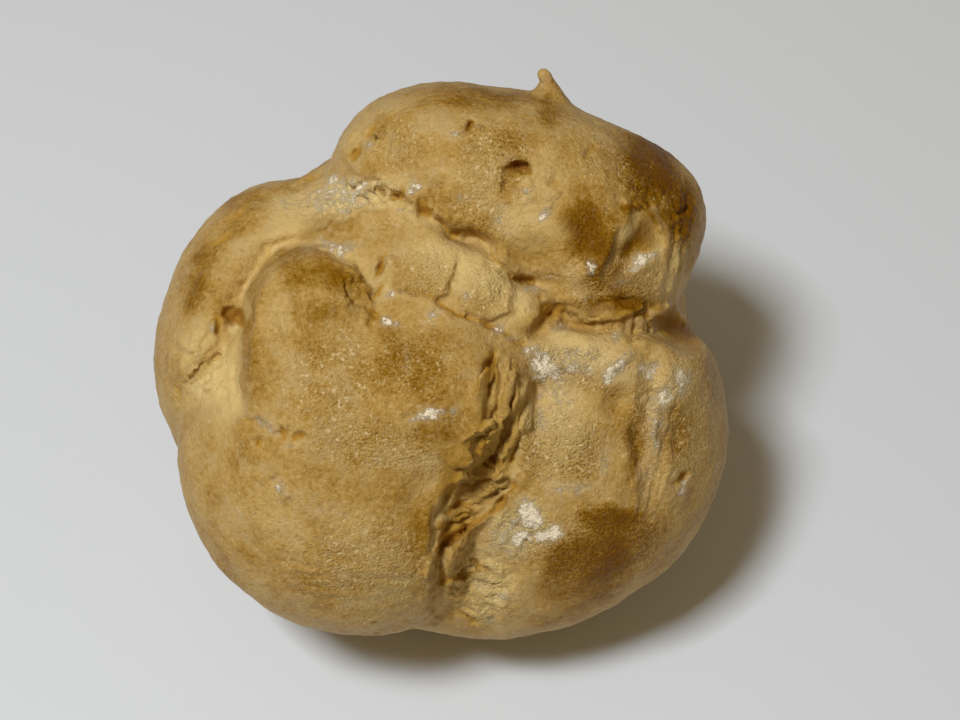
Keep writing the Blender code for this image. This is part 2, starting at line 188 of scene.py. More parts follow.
# Steps raise the crust on the left of a path of (across, up, height, reach), in mm.
STEPS = {
    "boss edge": [
        (-7.4, 3.0, 0.0, 2.0), (-7.4, 5.0, 0.3, 2.0), (-7.6, 7.0, 0.5, 2.5),
        (-8.8, 9.6, 0.7, 3.0), (-12.0, 10.9, 1.0, 3.0), (-15.5, 11.2, 1.2, 3.5),
        (-18.0, 10.5, 1.4, 4.0), (-19.5, 8.0, 1.7, 4.5), (-20.4, 6.0, 1.9, 5.0),
        (-21.0, 1.8, 2.0, 5.0), (-21.1, -2.7, 1.6, 5.0), (-20.7, -6.1, 0.0, 3.0),
    ],
    "cap edge": [
        (-8.4, 19.6, 0.0, 2.0), (-6.0, 17.8, 0.3, 2.5), (-3.0, 16.6, 0.5, 2.5),
        (-0.8, 14.6, 0.6, 2.5), (0.9, 13.2, 0.8, 3.0), (3.8, 12.9, 0.9, 3.0),
        (5.4, 11.4, 0.9, 3.0), (6.0, 9.6, 0.9, 3.0), (8.0, 8.0, 0.8, 3.0),
        (10.4, 7.6, 0.4, 2.5), (12.0, 7.6, 0.0, 2.0),
    ],
    "plate edge": [
        (8.8, 0.6, 0.0, 2.0), (6.0, 2.7, 0.4, 2.5), (3.6, 3.8, 0.5, 2.5),
        (0.5, 5.2, 0.5, 2.5), (-3.2, 7.0, 0.3, 2.0), (-5.0, 7.4, 0.0, 2.0),
    ],
    "front crust edge": [
        (-0.4, -28.4, 0.5, 2.5), (-0.8, -24.4, 0.7, 2.5), (-0.6, -21.0, 0.9, 2.5), (-1.0, -18.0, 1.0, 3.0),
        (0.0, -15.4, 1.1, 3.0), (2.2, -13.0, 1.1, 3.0), (2.4, -11.2, 1.2, 3.0), (4.4, -7.6, 1.0, 3.0),
        (4.6, -4.0, 0.5, 2.5), (4.4, 0.2, 0.0, 2.0),
    ],
    "right lobe edge": [
        (9.6, -2.6, 0.3, 2.0), (8.9, -5.4, 0.5, 2.0), (8.0, -7.8, 0.6, 2.0), (8.2, -10.2, 0.6, 2.0),
        (7.6, -12.8, 0.6, 2.0), (6.8, -15.6, 0.5, 2.0), (4.2, -17.4, 0.4, 1.5), (1.4, -19.4, 0.3, 1.5),
    ],
    "right crust edge": [
        (10.0, -20.0, 0.0, 2.0), (8.6, -22.6, 0.2, 2.5), (6.2, -25.4, 0.4, 3.0), (6.1, -29.0, 0.3, 3.0),
    ],
    "dimple rim": [
        (16.6, 6.6, 0.0, 1.5), (17.0, 8.4, 0.5, 2.0), (17.7, 10.9, 0.7, 2.0),
        (18.8, 13.4, 0.6, 2.0), (20.4, 15.3, 0.5, 1.5), (21.8, 14.4, 0.4, 1.5),
        (22.8, 12.4, 0.5, 1.5), (22.9, 10.0, 0.3, 1.5), (22.2, 8.0, 0.0, 1.5),
    ],
    "left torn edge": [
        (-28.6, -2.6, 0.2, 2.0), (-27.6, -2.8, 0.4, 2.5), (-26.1, -2.7, 0.5, 2.5),
        (-24.7, -1.3, 0.6, 2.5), (-23.4, 0.2, 0.6, 2.5), (-22.8, 1.6, 0.3, 2.0),
    ],
    "neck tongue": [
        (-1.6, 16.0, 0.0, 1.0), (-5.2, 15.7, 0.5, 1.6), (-8.6, 14.9, 0.8, 2.0),
        (-11.8, 14.1, 0.8, 2.0), (-13.8, 12.6, 0.5, 1.6), (-15.4, 12.4, 0.0, 1.0),
    ],
    "plate one edge": [
        (-5.7, 10.6, 0.0, 1.2), (-5.5, 8.8, 0.4, 1.6), (-5.0, 7.0, 0.55, 1.8), (-2.4, 6.4, 0.55, 1.8),
        (0.2, 5.9, 0.55, 1.8), (0.9, 7.6, 0.5, 1.6), (1.5, 9.4, 0.3, 1.4),
    ],
    "plate two edge": [
        (0.9, 5.8, 0.2, 1.4), (3.0, 4.5, 0.55, 1.6), (5.3, 3.6, 0.55, 1.8), (7.2, 4.4, 0.55, 1.6),
        (7.6, 6.8, 0.4, 1.4), (6.4, 8.6, 0.0, 1.2),
    ],
}

UNDERCUT = 0.55

# Swells are ovals: (across, up), radii, turn in degrees, height (below 0: a dent).
SWELLS = {
    "boss top": ((-13.5, 3.0), (6.4, 7.0), 0, -0.9),
    "boss and shoulder": ((-5.5, 0.5), (3.2, 4.6), 20, 0.4),
    "boss dip": ((-8.6, 6.0), (1.8, 3.4), 0, -0.5),
    "plate one": ((-1.4, 8.8), (3.2, 2.6), -20, 0.35),
    "plate two": ((4.6, 7.2), (2.4, 3.2), -30, 0.35),
    "plate low": ((-3.4, 4.4), (2.8, 1.8), -10, 0.4),
    "front flank": ((0.2, -7.0), (3.4, 5.6), 10, 0.5),
    "dimple": ((20.0, 11.0), (2.9, 4.9), -15, -1.5),
    "dimple middle": ((19.3, 13.0), (1.35, 2.1), -38, 1.15),
    "chin ridge": ((21.0, 9.2), (2.8, 1.1), 38, 0.9),
    "chin bump": ((15.0, 8.6), (1.4, 1.6), 0, 0.7),
    "chin band": ((17.5, 5.2), (5.5, 0.9), 6, -0.8),
    "cap hollow": ((6.9, 18.0), (1.0, 1.7), 10, -0.6),
    "cap knob": ((9.0, 17.4), (1.5, 1.1), 0, 0.5),
    "cap knob right": ((11.4, 16.9), (1.2, 1.2), 0, 0.4),
    "blister": ((19.4, 17.7), (0.6, 0.5), 0, 0.35),
    "cap fold": ((15.2, 13.0), (2.2, 5.0), 0, -0.5),
    "yellow bump": ((14.6, 1.2), (3.8, 2.2), -8, 0.9),
    "yellow bump moat": ((13.4, -2.0), (3.4, 0.9), 8, -0.5),
    "diagonal ridge": ((18.4, -1.0), (3.4, 0.8), 35, 0.9),
    "golden hollow": ((18.6, -5.0), (2.4, 2.6), -20, -1.1),
    "valley": ((20.4, -9.6), (1.1, 4.2), 4, -1.2),
    "ridge": ((22.4, -7.6), (0.9, 4.6), -2, 0.9),
    "outer valley": ((24.6, -8.0), (1.1, 3.6), 10, -0.5),
    "top dent": ((22.2, -1.8), (0.9, 1.2), 0, -0.6),
    "round face": ((14.0, -9.0), (4.2, 5.2), 0, 0.6),
    "front scar one": ((-13.0, -13.0), (0.7, 0.5), 40, -0.25),
    "front scar two": ((-12.8, -16.0), (1.0, 0.5), 40, -0.3),
    "front scar three": ((-9.6, -17.4), (1.2, 0.4), -40, -0.3),
    "neck pale": ((-9.5, 16.6), (5.0, 1.4), 10, -0.8),
    "left pale": ((-22.8, -2.8), (2.2, 3.2), 0, -0.8),
}

# Burst bubbles with skins between them: (across, up), radii, turn, depth in mm,
# direction in which they are drawn out, their length and their width in mm.
BUBBLES = {
    "cleft high": ((5.9, -6.2), (2.2, 3.6), -12, 0.9, 74, 3.2, 1.1),
    "cleft middle": ((4.9, -10.6), (2.9, 3.2), -15, 0.9, 55, 3.0, 1.6),
    "cleft shelf": ((4.0, -14.2), (3.6, 2.2), 22, 0.8, 22, 3.6, 1.3),
    "cleft low": ((1.4, -17.5), (2.6, 1.8), 22, 0.7, 18, 3.0, 1.1),
    "strip": ((3.0, -23.6), (3.0, 4.4), 0, 0.16, -30, 5.0, 0.9),
    "neck": ((-9.2, 16.4), (6.4, 2.0), 10, 0.4, 12, 3.0, 1.6),
    "neck left": ((-15.0, 17.6), (2.4, 1.6), 20, 0.5, 30, 2.2, 1.2),
    "left torn": ((-25.8, -0.4), (3.2, 4.8), 12, 0.4, 36, 3.6, 1.8),
    "under cap": ((-4.6, 16.4), (3.6, 1.4), -25, 0.7, -30, 2.0, 1.2),
    "under chin": ((12.4, 4.8), (3.6, 1.6), -5, 0.8, 10, 2.2, 1.1),
    "chin side": ((22.6, 5.2), (3.0, 1.8), 20, 0.8, 80, 3.0, 0.9),
    "slot": ((5.4, -1.6), (1.4, 3.2), 5, 0.8, 84, 3.4, 0.9),
    "boss top": ((-12.6, 11.0), (3.6, 0.8), -5, 0.4, 5, 1.4, 0.9),
    "cap hollow": ((7.6, 17.6), (1.8, 2.0), 0, 0.5, 80, 2.0, 1.0),
    "cap rough": ((21.4, 16.4), (1.9, 1.2), 0, 0.4, 20, 1.4, 0.9),
}

# Flakes of crust that stick out: (across, up), radii in mm, turn, tip up, lift in mm.
FLAKES = {
    "cleft edge one": ((4.2, -3.6), (0.9, 2.4, 0.28), -4, 5, 0.2),
    "cleft edge two": ((3.9, -8.0), (1.0, 2.0, 0.28), -25, 5, 0.2),
    "cleft edge three": ((2.0, -10.9), (1.1, 1.4, 0.28), -50, 5, 0.2),
    "cleft edge four": ((2.2, -13.0), (1.3, 0.7, 0.26), 10, 5, 0.2),
    "cleft edge five": ((-0.2, -15.0), (1.2, 0.8, 0.26), 30, 5, 0.2),
    "cleft edge six": ((-0.6, -17.6), (0.8, 1.1, 0.26), -10, 5, 0.2),
    "cleft edge seven": ((-1.0, -21.6), (0.8, 2.0, 0.26), 0, 5, 0.2),
    "skin one": ((5.2, -12.9), (1.9, 0.55, 0.24), 12, -8, 0.35),
    "skin two": ((4.2, -14.6), (2.0, 0.5, 0.24), 24, -10, 0.35),
    "skin three": ((1.8, -16.8), (1.8, 0.6, 0.24), 12, -8, 0.35),
    "skin four": ((6.3, -9.4), (0.45, 1.9, 0.24), -8, 12, 0.35),
    "skin five": ((6.9, -4.2), (0.4, 2.0, 0.24), -4, 10, 0.35),
    "skin six": ((7.7, -3.0), (0.35, 1.8, 0.22), 8, 10, 0.35),
    "front curl": ((0.2, -27.9), (1.5, 0.5, 0.3), 24, 8, 0.3),
    "chin edge one": ((13.8, 5.9), (1.6, 0.5, 0.3), 8, -7, 0.24),
    "chin edge two": ((19.0, 5.0), (2.4, 0.6, 0.3), 6, -6, 0.3),
    "chin edge three": ((22.8, 4.6), (1.6, 0.5, 0.28), 24, -7, 0.3),
    "left flap": ((-22.1, 2.3), (0.9, 1.2, 0.3), -14, 18, 0.5),
    "left torn one": ((-25.8, -0.9), (1.9, 0.8, 0.28), 40, -10, 0.3),
    "left torn two": ((-24.6, 1.4), (1.2, 0.7, 0.28), 30, -10, 0.3),
    "neck burr high": ((-18.6, 18.3), (0.8, 0.35, 0.25), 15, 0, 0.2),
    "neck burr low": ((-13.2, 19.4), (1.4, 0.4, 0.25), 25, 0, 0.2),
    "cap corner burr": ((-9.5, 22.6), (0.35, 0.9, 0.25), -10, 0, 0.06),
    "neck burr": ((-17.4, 18.6), (0.6, 0.45, 0.3), 0, 0, 0.3),
    "neck skin one": ((-8.0, 17.0), (1.4, 0.5, 0.25), 5, -15, 0.4),
    "neck skin two": ((-12.4, 16.6), (1.3, 0.6, 0.25), 20, -15, 0.4),
    "cap left skin": ((-7.6, 21.9), (0.7, 1.6, 0.25), -35, 8, 0.24),
    "cap slit lip": ((3.1, 23.4), (0.3, 1.2, 0.25), -35, 8, 0.18),
    "boss fringe": ((-11.0, 11.0), (2.4, 0.5, 0.28), -4, 6, 0.18),
    "boss flap": ((-5.6, 9.4), (0.4, 1.2, 0.25), -8, 5, 0.18),
    "strip one": ((3.4, -22.6), (0.9, 0.3, 0.16), -30, -8, 0.1),
    "strip two": ((4.6, -24.8), (0.8, 0.3, 0.16), -35, -8, 0.1),
    "strip three": ((3.0, -26.4), (0.9, 0.3, 0.16), -25, -8, 0.1),
}

# The tip where the piping nozzle was drawn away: (across, up, out) and radius, in mm.
NOZZLE_TIP = [
    ((12.3, 24.3, 7.4), 1.4), ((12.0, 25.2, 7.9), 1.1), ((11.5, 26.1, 8.3), 0.9),
    ((11.2, 26.8, 8.6), 0.78), ((10.9, 27.4, 8.8), 0.70), ((10.6, 27.9, 8.9), 0.70),
    ((10.3, 28.2, 8.9), 0.60),
]

# Strands and flaking layers: (across, up), radii, turn, height in mm, grain direction.
FIBRES = {
    "slot strands": ((6.4, -2.0), (1.9, 3.6), 0, 0.30, 84),
    "cleft walls": ((6.2, -7.6), (3.0, 5.6), -12, 0.45, 78),
    "cleft shelf": ((4.4, -14.0), (3.6, 2.8), 20, 0.50, 25),
    "cleft lip": ((1.6, -17.6), (2.6, 1.6), 20, 0.40, 15),
    "lower strip": ((3.9, -24.8), (4.4, 5.0), 0, 0.22, -28),
    "strip side": ((7.6, -18.4), (3.0, 3.2), 0, 0.20, 60),
    "chin side": ((24.4, 9.5), (2.6, 6.8), -5, 0.18, 84),
    "under chin": ((16.6, 4.7), (7.0, 1.5), 0, 0.22, 4),
    "right folds": ((21.8, -11.8), (3.8, 6.8), 0, 0.14, 76),
    "right hollow edge": ((20.6, 2.6), (2.4, 2.2), 0, 0.35, 86),
    "left wrinkles": ((-23.4, 7.0), (4.6, 3.6), 0, 0.16, 4),
    "left torn": ((-25.4, -0.8), (3.8, 5.0), 15, 0.24, 38),
    "neck": ((-9.4, 16.6), (6.6, 2.4), 10, 0.36, 12),
    "neck behind": ((-14.8, 18.0), (3.4, 2.0), 25, 0.25, 30),
    "cap stretch": ((-5.2, 21.4), (3.6, 4.6), -35, 0.22, 64),
    "cap lower edge": ((-1.2, 16.6), (3.6, 2.6), -20, 0.22, 80),
    "front wrinkles": ((-10.5, -23.5), (13.0, 5.5), -8, 0.10, -6),
    "front diagonal": ((-1.8, -23.0), (2.4, 4.0), 0, 0.16, 35),
}

# Open crumb and flaking grain: (across, up), radii, turn, height in mm.
CRUMB = {
    "neck": ((-9.4, 16.4), (6.6, 2.4), 10, 0.45),
    "left torn": ((-25.2, -1.0), (4.0, 5.4), 15, 0.22),
    "left shelf": ((-22.4, -3.6), (2.6, 4.4), 0, 0.16),
    "strip": ((4.4, -24.2), (4.2, 5.4), 0, 0.34),
    "strip side": ((8.4, -18.2), (3.8, 3.4), 20, 0.38),
    "right plate": ((11.8, -8.4), (5.6, 7.0), 0, 0.18),
    "right top": ((13.0, -0.6), (5.6, 2.6), 0, 0.28),
    "right edge": ((22.8, -4.0), (3.4, 6.0), 0, 0.22),
    "cleft": ((4.6, -12.0), (3.6, 7.0), -15, 0.30),
    "scar": ((-17.6, -8.0), (3.8, 1.6), -15, 0.34),
    "seam": ((-17.0, -13.4), (1.5, 4.6), 18, 0.3),
    "boss side": ((-9.0, 7.0), (3.0, 3.4), 0, 0.36),
    "cap middle": ((9.6, 17.4), (4.6, 3.4), 0, 0.28),
    "cap right": ((21.0, 16.4), (3.2, 2.4), 0, 0.3),
    "cap corner": ((25.0, 14.0), (2.4, 5.0), 0, 0.32),
    "plate tops": ((3.0, 8.6), (7.0, 3.8), -25, 0.14),
    "flour streak": ((-1.8, -6.2), (3.4, 1.6), 20, 0.18),
    "chin": ((16.0, 4.6), (6.4, 2.0), 4, 0.28),
    "cap skirt": ((9.0, 11.0), (3.6, 2.6), 0, 0.16),
    "strip top": ((2.2, -21.0), (2.6, 3.4), 0, 0.34),
}

# The brown patch on the right lobe ends sharply along this line of (across, up).
PATCH_EDGE = [
    (9.0, -29.0), (9.5, -25.8), (9.9, -23.2), (11.4, -20.4), (13.2, -18.2), (14.4, -16.5),
    (17.2, -15.6), (22.0, -15.6),
]

# Colour patches: (across, up), radii, turn, share.
# Browned patches. Some of them are painted shade, marked below.
BROWNED_AND_SHADED = {
    "right gold": ((18.4, -5.6), (2.8, 4.4), -18, 0.0),
    "right gold side": ((24.2, -8.4), (2.2, 4.2), 0, 0.5),
    "right valley": ((20.2, -10.4), (1.2, 4.6), 0, 0.45),
    "right plate": ((12.4, -10.4), (3.6, 3.0), 0, 0.25),
    # cap rim and cap corner: browner crust, with painted shade on the cap's right side
    "cap rim": ((22.0, 19.8), (3.8, 6.4), 40, 1.0),
    "cap corner": ((25.2, 15.0), (2.6, 4.8), 0, 1.1),
    "cap middle": ((15.4, 13.6), (4.4, 5.8), 10, 0.85),
    "cap middle low": ((16.0, 10.2), (2.6, 4.4), 10, 0.7),
    "cap middle top": ((15.6, 16.6), (2.6, 2.4), 0, 0.35),
    "tip foot": ((11.3, 25.6), (1.5, 2.6), 0, 0.45),
    "cap back": ((3.0, 27.2), (10.0, 2.0), 0, 0.4),
    "cap left": ((-6.4, 24.2), (2.8, 1.8), 35, 0.35),
    "cap hollow": ((6.9, 17.6), (1.6, 3.0), 0, 0.35),
    # the dimple ovals: a painted shade ring around the dimple's raised middle
    "dimple right": ((21.4, 12.8), (1.6, 3.3), -20, 1.1),
    "dimple low": ((19.7, 10.9), (2.8, 1.1), 40, 1.0),
    "dimple top": ((20.6, 15.5), (2.2, 0.8), 0, 0.8),
    "dimple left": ((17.5, 9.4), (1.1, 3.8), -12, 0.95),
    "cap rough": ((21.6, 16.2), (2.2, 1.5), 0, 0.5),
    # chin under: painted shade under the cap's lip
    "chin under": ((18.6, 5.2), (6.4, 1.5), 5, 0.85),
    "boss": ((-13.0, 8.0), (5.4, 2.8), -5, 0.5),
    "boss middle": ((-14.0, 4.0), (4.6, 6.4), 0, 0.35),
    "boss left": ((-18.4, -1.4), (2.4, 5.4), 5, 0.3),
    "boss side": ((-8.6, 7.4), (2.0, 3.0), 0, 0.3),
    "left back": ((-25.4, 8.6), (2.4, 8.6), -22, 0.35),
    "left top": ((-21.4, 14.4), (4.4, 2.8), 40, 0.45),
    "front left": ((-21.0, -10.6), (4.0, 4.0), 0, 0.12),
    "front left low": ((-19.8, -14.6), (4.0, 3.0), -40, 0.2),
    "front brow": ((-3.8, -0.8), (8.0, 5.6), 0, 0.42),
    # front cleft side: painted shade on the cleft's left wall
    "front cleft side": ((1.2, -12.4), (2.6, 5.4), 20, 0.42),
    "front cleft low": ((-2.4, -19.0), (2.4, 4.4), 0, 0.35),
    "front slope": ((-1.0, -8.6), (4.6, 2.2), 0, 0.4),
    "front belly": ((-9.0, -15.0), (8.0, 5.0), 0, 0.12),
    "strip cracks": ((2.4, -22.8), (2.6, 2.2), 20, 0.45),
    # strip shade and cleft middle: painted shade low in the cleft
    "strip shade": ((1.0, -24.0), (2.0, 5.0), 0, 0.3),
    "cleft middle": ((4.6, -11.0), (3.4, 7.6), -18, 0.4),
    "chin": ((18.8, 7.6), (4.0, 2.4), 20, 1.0),
    "cap skirt": ((9.6, 11.4), (4.4, 3.0), 0, 0.6),
    "left middle": ((-23.6, 10.0), (3.6, 4.0), 0, 0.0),
}
GRAINY = {
    "front low": ((-8.0, -22.0), (10.0, 6.0), 0, 0.8),
    "brow": ((-3.0, -1.0), (6.0, 4.6), 0, 0.8),
    "right side": ((26.0, -6.0), (4.0, 10.0), 0, 0.9),
    "right low": ((20.0, -20.0), (9.0, 4.0), 45, 0.5),
    "chin": ((18.0, 8.0), (6.6, 4.0), 0, 0.9),
    "plate two": ((4.6, 7.0), (4.0, 4.0), 0, 1.0),
    "cap left": ((-4.0, 22.0), (4.4, 4.0), 0, 0.6),
    "plate": ((-1.4, 8.6), (4.8, 3.4), -15, 1.0),
    "boss low": ((-11.6, -2.4), (7.4, 7.0), 0, 0.8),
    "front middle": ((-7.4, -9.2), (8.6, 3.8), -10, 0.9),
    "cap middle": ((5.4, 20.4), (5.4, 5.4), 0, 1.0),
    "cap low": ((4.2, 15.0), (5.0, 2.8), -30, 0.8),
    "right plate": ((12.4, -9.4), (5.8, 5.6), 0, 1.5),
    "right edge": ((22.2, -7.2), (3.8, 8.6), 0, 0.7),
    "right top": ((13.0, -1.6), (6.4, 3.2), 0, 1.5),
    "strip side": ((8.4, -18.6), (5.0, 4.0), 20, 1.5),
    "strip": ((4.4, -24.6), (4.0, 4.6), 0, 0.8),
    "cap right": ((18.4, 19.6), (5.4, 3.4), -30, 0.4),
    "patch": ((15.0, -19.8), (6.6, 5.0), 40, 0.9),
    "neck": ((-9.2, 16.6), (6.6, 2.4), 10, 0.8),
    "cap rim": ((22.0, 19.4), (4.2, 6.4), 40, 0.9),
    "cap brown": ((15.8, 13.0), (3.4, 5.0), 0, 0.7),
}
BROWN_PATCH = {
    "middle": ((15.9, -21.4), (9.6, 5.6), 36, 1.05),
    "top": ((17.6, -17.6), (5.4, 3.0), 0, 1.0),
}
# Painted shade in hollows: ovals where the colour turns orange and dark, as shade would make it.
HOLLOW_SHADE = {
    "right hollow": ((24.8, 2.4), (3.2, 1.9), -38, 0.5),
    "left hole": ((-22.2, 4.0), (1.7, 0.9), 0, 0.2),
    "cleft": ((5.4, -8.8), (3.7, 9.4), -16, 0.22),
    "cleft left wall": ((1.9, -12.6), (2.6, 5.6), -25, 0.2),
    "cap hole": ((8.2, 19.4), (1.5, 1.0), 0, 0.3),
    "cleft low": ((1.6, -17.8), (3.4, 1.6), 40, 0.35),
    "under chin": ((11.4, 4.6), (1.8, 1.4), 0, 0.25),
    "chin": ((18.0, 4.0), (6.0, 1.0), 4, 0.1),
    "slot": ((5.2, -1.2), (1.2, 2.6), 0, 0.30),
    "left torn": ((-25.4, -1.6), (3.0, 1.0), 35, 0.10),
    "left slit": ((-22.9, 12.2), (1.3, 0.5), 30, 0.2),
}
# Paler patches. The rim ones are painted light, marked below.
PALE_AND_LIT = {
    "dimple middle": ((19.2, 12.9), (1.0, 1.7), -38, 0.5),
    "dimple slope": ((20.2, 9.0), (1.8, 1.6), 0, 0.5),
    "chin side": ((24.8, 9.4), (1.5, 3.4), 0, 0.2),
    # right rim, right low rim, front rim and right side: painted light shining through the thin crust along the
    # silhouette
    "right rim": ((25.6, -18.6), (2.0, 9.0), -40, 1.1),
    "right low rim": ((14.0, -27.0), (8.0, 2.0), 18, 0.85),
    "front rim": ((-9.0, -28.0), (12.0, 2.4), -6, 0.7),
    "boss pale edge": ((-17.0, 4.4), (1.4, 6.0), 6, 0.6),
    "right side": ((28.0, -6.0), (2.0, 8.0), 0, 0.5),
    "front middle": ((-13.0, -14.8), (1.6, 2.2), 0, 0.35),
    "cap left": ((-1.6, 20.4), (3.4, 3.6), 0, 0.3),
    "left edge": ((-28.0, 1.0), (1.6, 6.0), -5, 0.4),
}
TORN = {
    "left torn": ((-24.6, -1.4), (4.4, 6.4), 10, 0.9),
    "left shelf": ((-22.6, -3.6), (2.8, 5.0), 0, 0.75),
    "left flap": ((-21.8, 2.8), (1.0, 1.4), 0, 1.0),
    "neck": ((-8.8, 16.6), (8.0, 2.6), 10, 1.0),
    "neck left": ((-15.6, 14.6), (4.0, 3.4), 30, 0.6),
    "under cap": ((-3.0, 15.2), (4.0, 2.0), -25, 0.6),
    "plate": ((2.4, 9.0), (8.4, 4.4), -25, 0.7),
    "plate low": ((6.8, 5.0), (3.4, 3.0), -20, 0.7),
    "left fold": ((-17.4, 11.6), (4.6, 1.6), 42, 0.7),
    "cleft": ((5.2, -9.6), (3.4, 8.6), -15, 0.35),
    "strip": ((4.6, -24.0), (4.4, 6.0), 0, 0.5),
    "strip side": ((8.2, -18.0), (4.4, 3.6), 20, 0.9),
    "right top": ((13.4, 0.4), (5.6, 3.0), 0, 0.7),
    "right plate": ((12.0, -6.8), (5.6, 7.4), 0, 0.55),
    "chin ridge": ((20.4, 8.2), (4.0, 2.0), 30, 0.3),
    "chin side": ((24.4, 8.4), (1.8, 4.6), 0, 0.55),
    "chin knob": ((15.2, 4.4), (3.4, 1.2), 0, 0.25),
    "right folds": ((23.0, -6.6), (2.2, 9.0), 0, 0.15),
    "cap skirt": ((9.0, 13.0), (5.6, 3.6), 0, 0.45),
}
FLOURED = {
    "right top one": ((10.8, -1.4), (3.4, 2.0), -42, 1.1),
    "right top two": ((9.4, 0.2), (1.6, 1.4), 0, 1.0),
    "right top five": ((14.2, -1.6), (3.2, 1.2), 10, 0.8),
    "right top three": ((12.4, 2.7), (1.6, 0.9), 0, 0.7),
    "right top four": ((18.2, 1.9), (0.8, 1.4), -20, 0.85),
    "diagonal": ((18.4, -1.5), (2.8, 1.1), 48, 1.1),
    "right edge one": ((21.7, -1.5), (1.4, 1.1), 10, 1.0),
    "right edge two": ((25.0, -2.4), (1.3, 2.2), 0, 0.9),
    "right band high": ((23.2, -4.4), (1.4, 2.0), -10, 0.95),
    "right band": ((22.4, -7.6), (1.3, 3.6), 0, 0.75),
    "right band low": ((21.6, -12.4), (1.0, 2.6), 0, 0.4),
    "right plate edge": ((16.9, -11.6), (0.8, 2.6), 0, 0.65),
    "right plate edge low": ((13.6, -14.0), (3.6, 0.7), 4, 0.6),
    "right plate high": ((12.4, -4.4), (3.0, 1.8), 0, 0.5),
    "right plate left": ((9.8, -6.4), (1.6, 2.6), 0, 0.5),
    "strip bright one": ((9.2, -16.9), (1.3, 2.0), 12, 1.4),
    "strip bright two": ((8.3, -19.2), (1.6, 1.1), 15, 1.45),
    "strip bright three": ((11.4, -18.6), (2.2, 0.9), 6, 1.4),
    "strip mild": ((6.8, -20.4), (3.6, 1.6), 0, 0.5),
    "strip low one": ((6.3, -25.7), (1.3, 0.8), 0, 0.75),
    "strip low two": ((5.2, -28.0), (0.8, 0.7), 0, 0.8),
    "strip low three": ((4.5, -24.4), (0.9, 0.7), 0, 0.6),
    "right slit": ((25.4, -13.8), (0.8, 1.6), -25, 0.75),
    "front streak": ((-1.6, -6.3), (2.6, 0.7), 14, 1.0),
    "front speck": ((1.2, -5.7), (0.6, 0.5), 0, 0.9),
    "brow one": ((-1.0, 4.4), (0.7, 1.7), -22, 0.9),
    "brow two": ((-3.4, -0.6), (0.4, 1.4), 0, 0.75),
    "brow three": ((-5.2, 3.5), (1.2, 0.8), -10, 0.95),
    "brow four": ((-5.4, 6.5), (1.5, 0.8), 15, 0.85),
    "brow five": ((6.1, 2.4), (0.8, 0.7), 0, 0.9),
    "brow six": ((7.4, 1.6), (0.8, 0.6), 0, 0.7),
    "brow seven": ((2.6, 6.2), (1.2, 1.2), 0, 0.5),
    "boss top": ((-10.6, 11.5), (2.6, 0.9), -6, 0.85),
    "boss speckle": ((-13.8, 11.0), (1.6, 0.6), 0, 0.5),
    "neck one": ((-11.6, 17.8), (1.4, 0.8), 0, 1.0),
    "neck two": ((-8.6, 17.6), (1.2, 0.8), 0, 1.0),
    "neck three": ((-13.0, 15.8), (0.8, 0.8), 0, 0.7),
    "neck four": ((-9.4, 15.4), (3.0, 0.6), 8, 0.8),
    "neck five": ((-16.2, 15.4), (0.8, 1.4), 30, 0.5),
    "cap left": ((-7.3, 22.2), (0.8, 0.9), 0, 0.75),
    "cap skirt one": ((-2.8, 17.8), (1.1, 1.0), 0, 0.85),
    "cap skirt two": ((2.0, 16.7), (0.5, 0.8), 0, 0.6),
    "cap skirt three": ((-3.8, 15.5), (1.6, 0.5), -15, 0.5),
    "cap slit": ((1.4, 23.0), (1.2, 0.5), 20, 0.85),
    "cap streak": ((-2.9, 23.7), (0.3, 1.6), -20, 0.5),
    "cap white one": ((11.1, 15.0), (0.8, 0.9), 0, 1.15),
    "cap white two": ((8.6, 17.2), (1.2, 0.8), 0, 0.75),
    "cap white three": ((5.7, 14.0), (0.6, 1.2), 20, 0.7),
    "cap white four": ((6.9, 12.8), (0.9, 0.6), -30, 0.75),
    "chin white one": ((15.4, 9.0), (1.0, 1.1), 0, 1.0),
    "chin white two": ((21.2, 9.7), (2.1, 0.7), 38, 1.25),
    "chin white three": ((19.0, 7.3), (2.6, 0.6), 22, 0.35),
    "dimple inner": ((19.6, 12.7), (0.8, 1.5), -25, 0.4),
    "under chin one": ((9.6, 6.6), (1.3, 0.7), -15, 0.85),
    "under chin two": ((11.6, 8.0), (0.6, 0.5), 0, 0.8),
    "under chin three": ((8.2, 6.8), (1.0, 0.6), 0, 0.5),
    "left hole edge": ((-24.0, 2.4), (0.8, 0.8), 0, 0.4),
    "left low": ((-26.0, -3.4), (0.8, 1.0), 0, 0.45),
    "scar one": ((-18.2, -7.4), (2.0, 0.9), -20, 0.75),
    "scar two": ((-15.9, -9.4), (0.9, 0.5), 20, 0.75),
    "seam": ((-16.8, -13.8), (0.8, 2.0), 20, 0.7),
    "front blur one": ((-13.1, -13.3), (0.6, 0.4), 40, 0.5),
    "front blur two": ((-12.9, -15.9), (0.8, 0.4), 40, 0.55),
    "front blur three": ((-10.0, -17.3), (1.0, 0.4), -35, 0.5),
    "neck wide": ((-10.4, 16.8), (5.6, 2.0), 10, 0.72),
    "strip wide": ((7.4, -18.8), (3.8, 2.6), 20, 0.62),
    "right top wide": ((13.6, -0.8), (6.0, 2.6), 0, 0.6),
}


def serving_frame():
    """Turns (across, up, out) from the bun's middle, in metres, into a point."""
    out = Vector((0, -math.cos(SERVING_ELEVATION), math.sin(SERVING_ELEVATION)))
    across = Matrix.Rotation(-SERVING_LEAN, 3, out) @ Vector((1, 0, 0))
    turn = Matrix((across, out.cross(across), out)).transposed().to_4x4()
    return Matrix.Translation(MIDDLE) @ turn


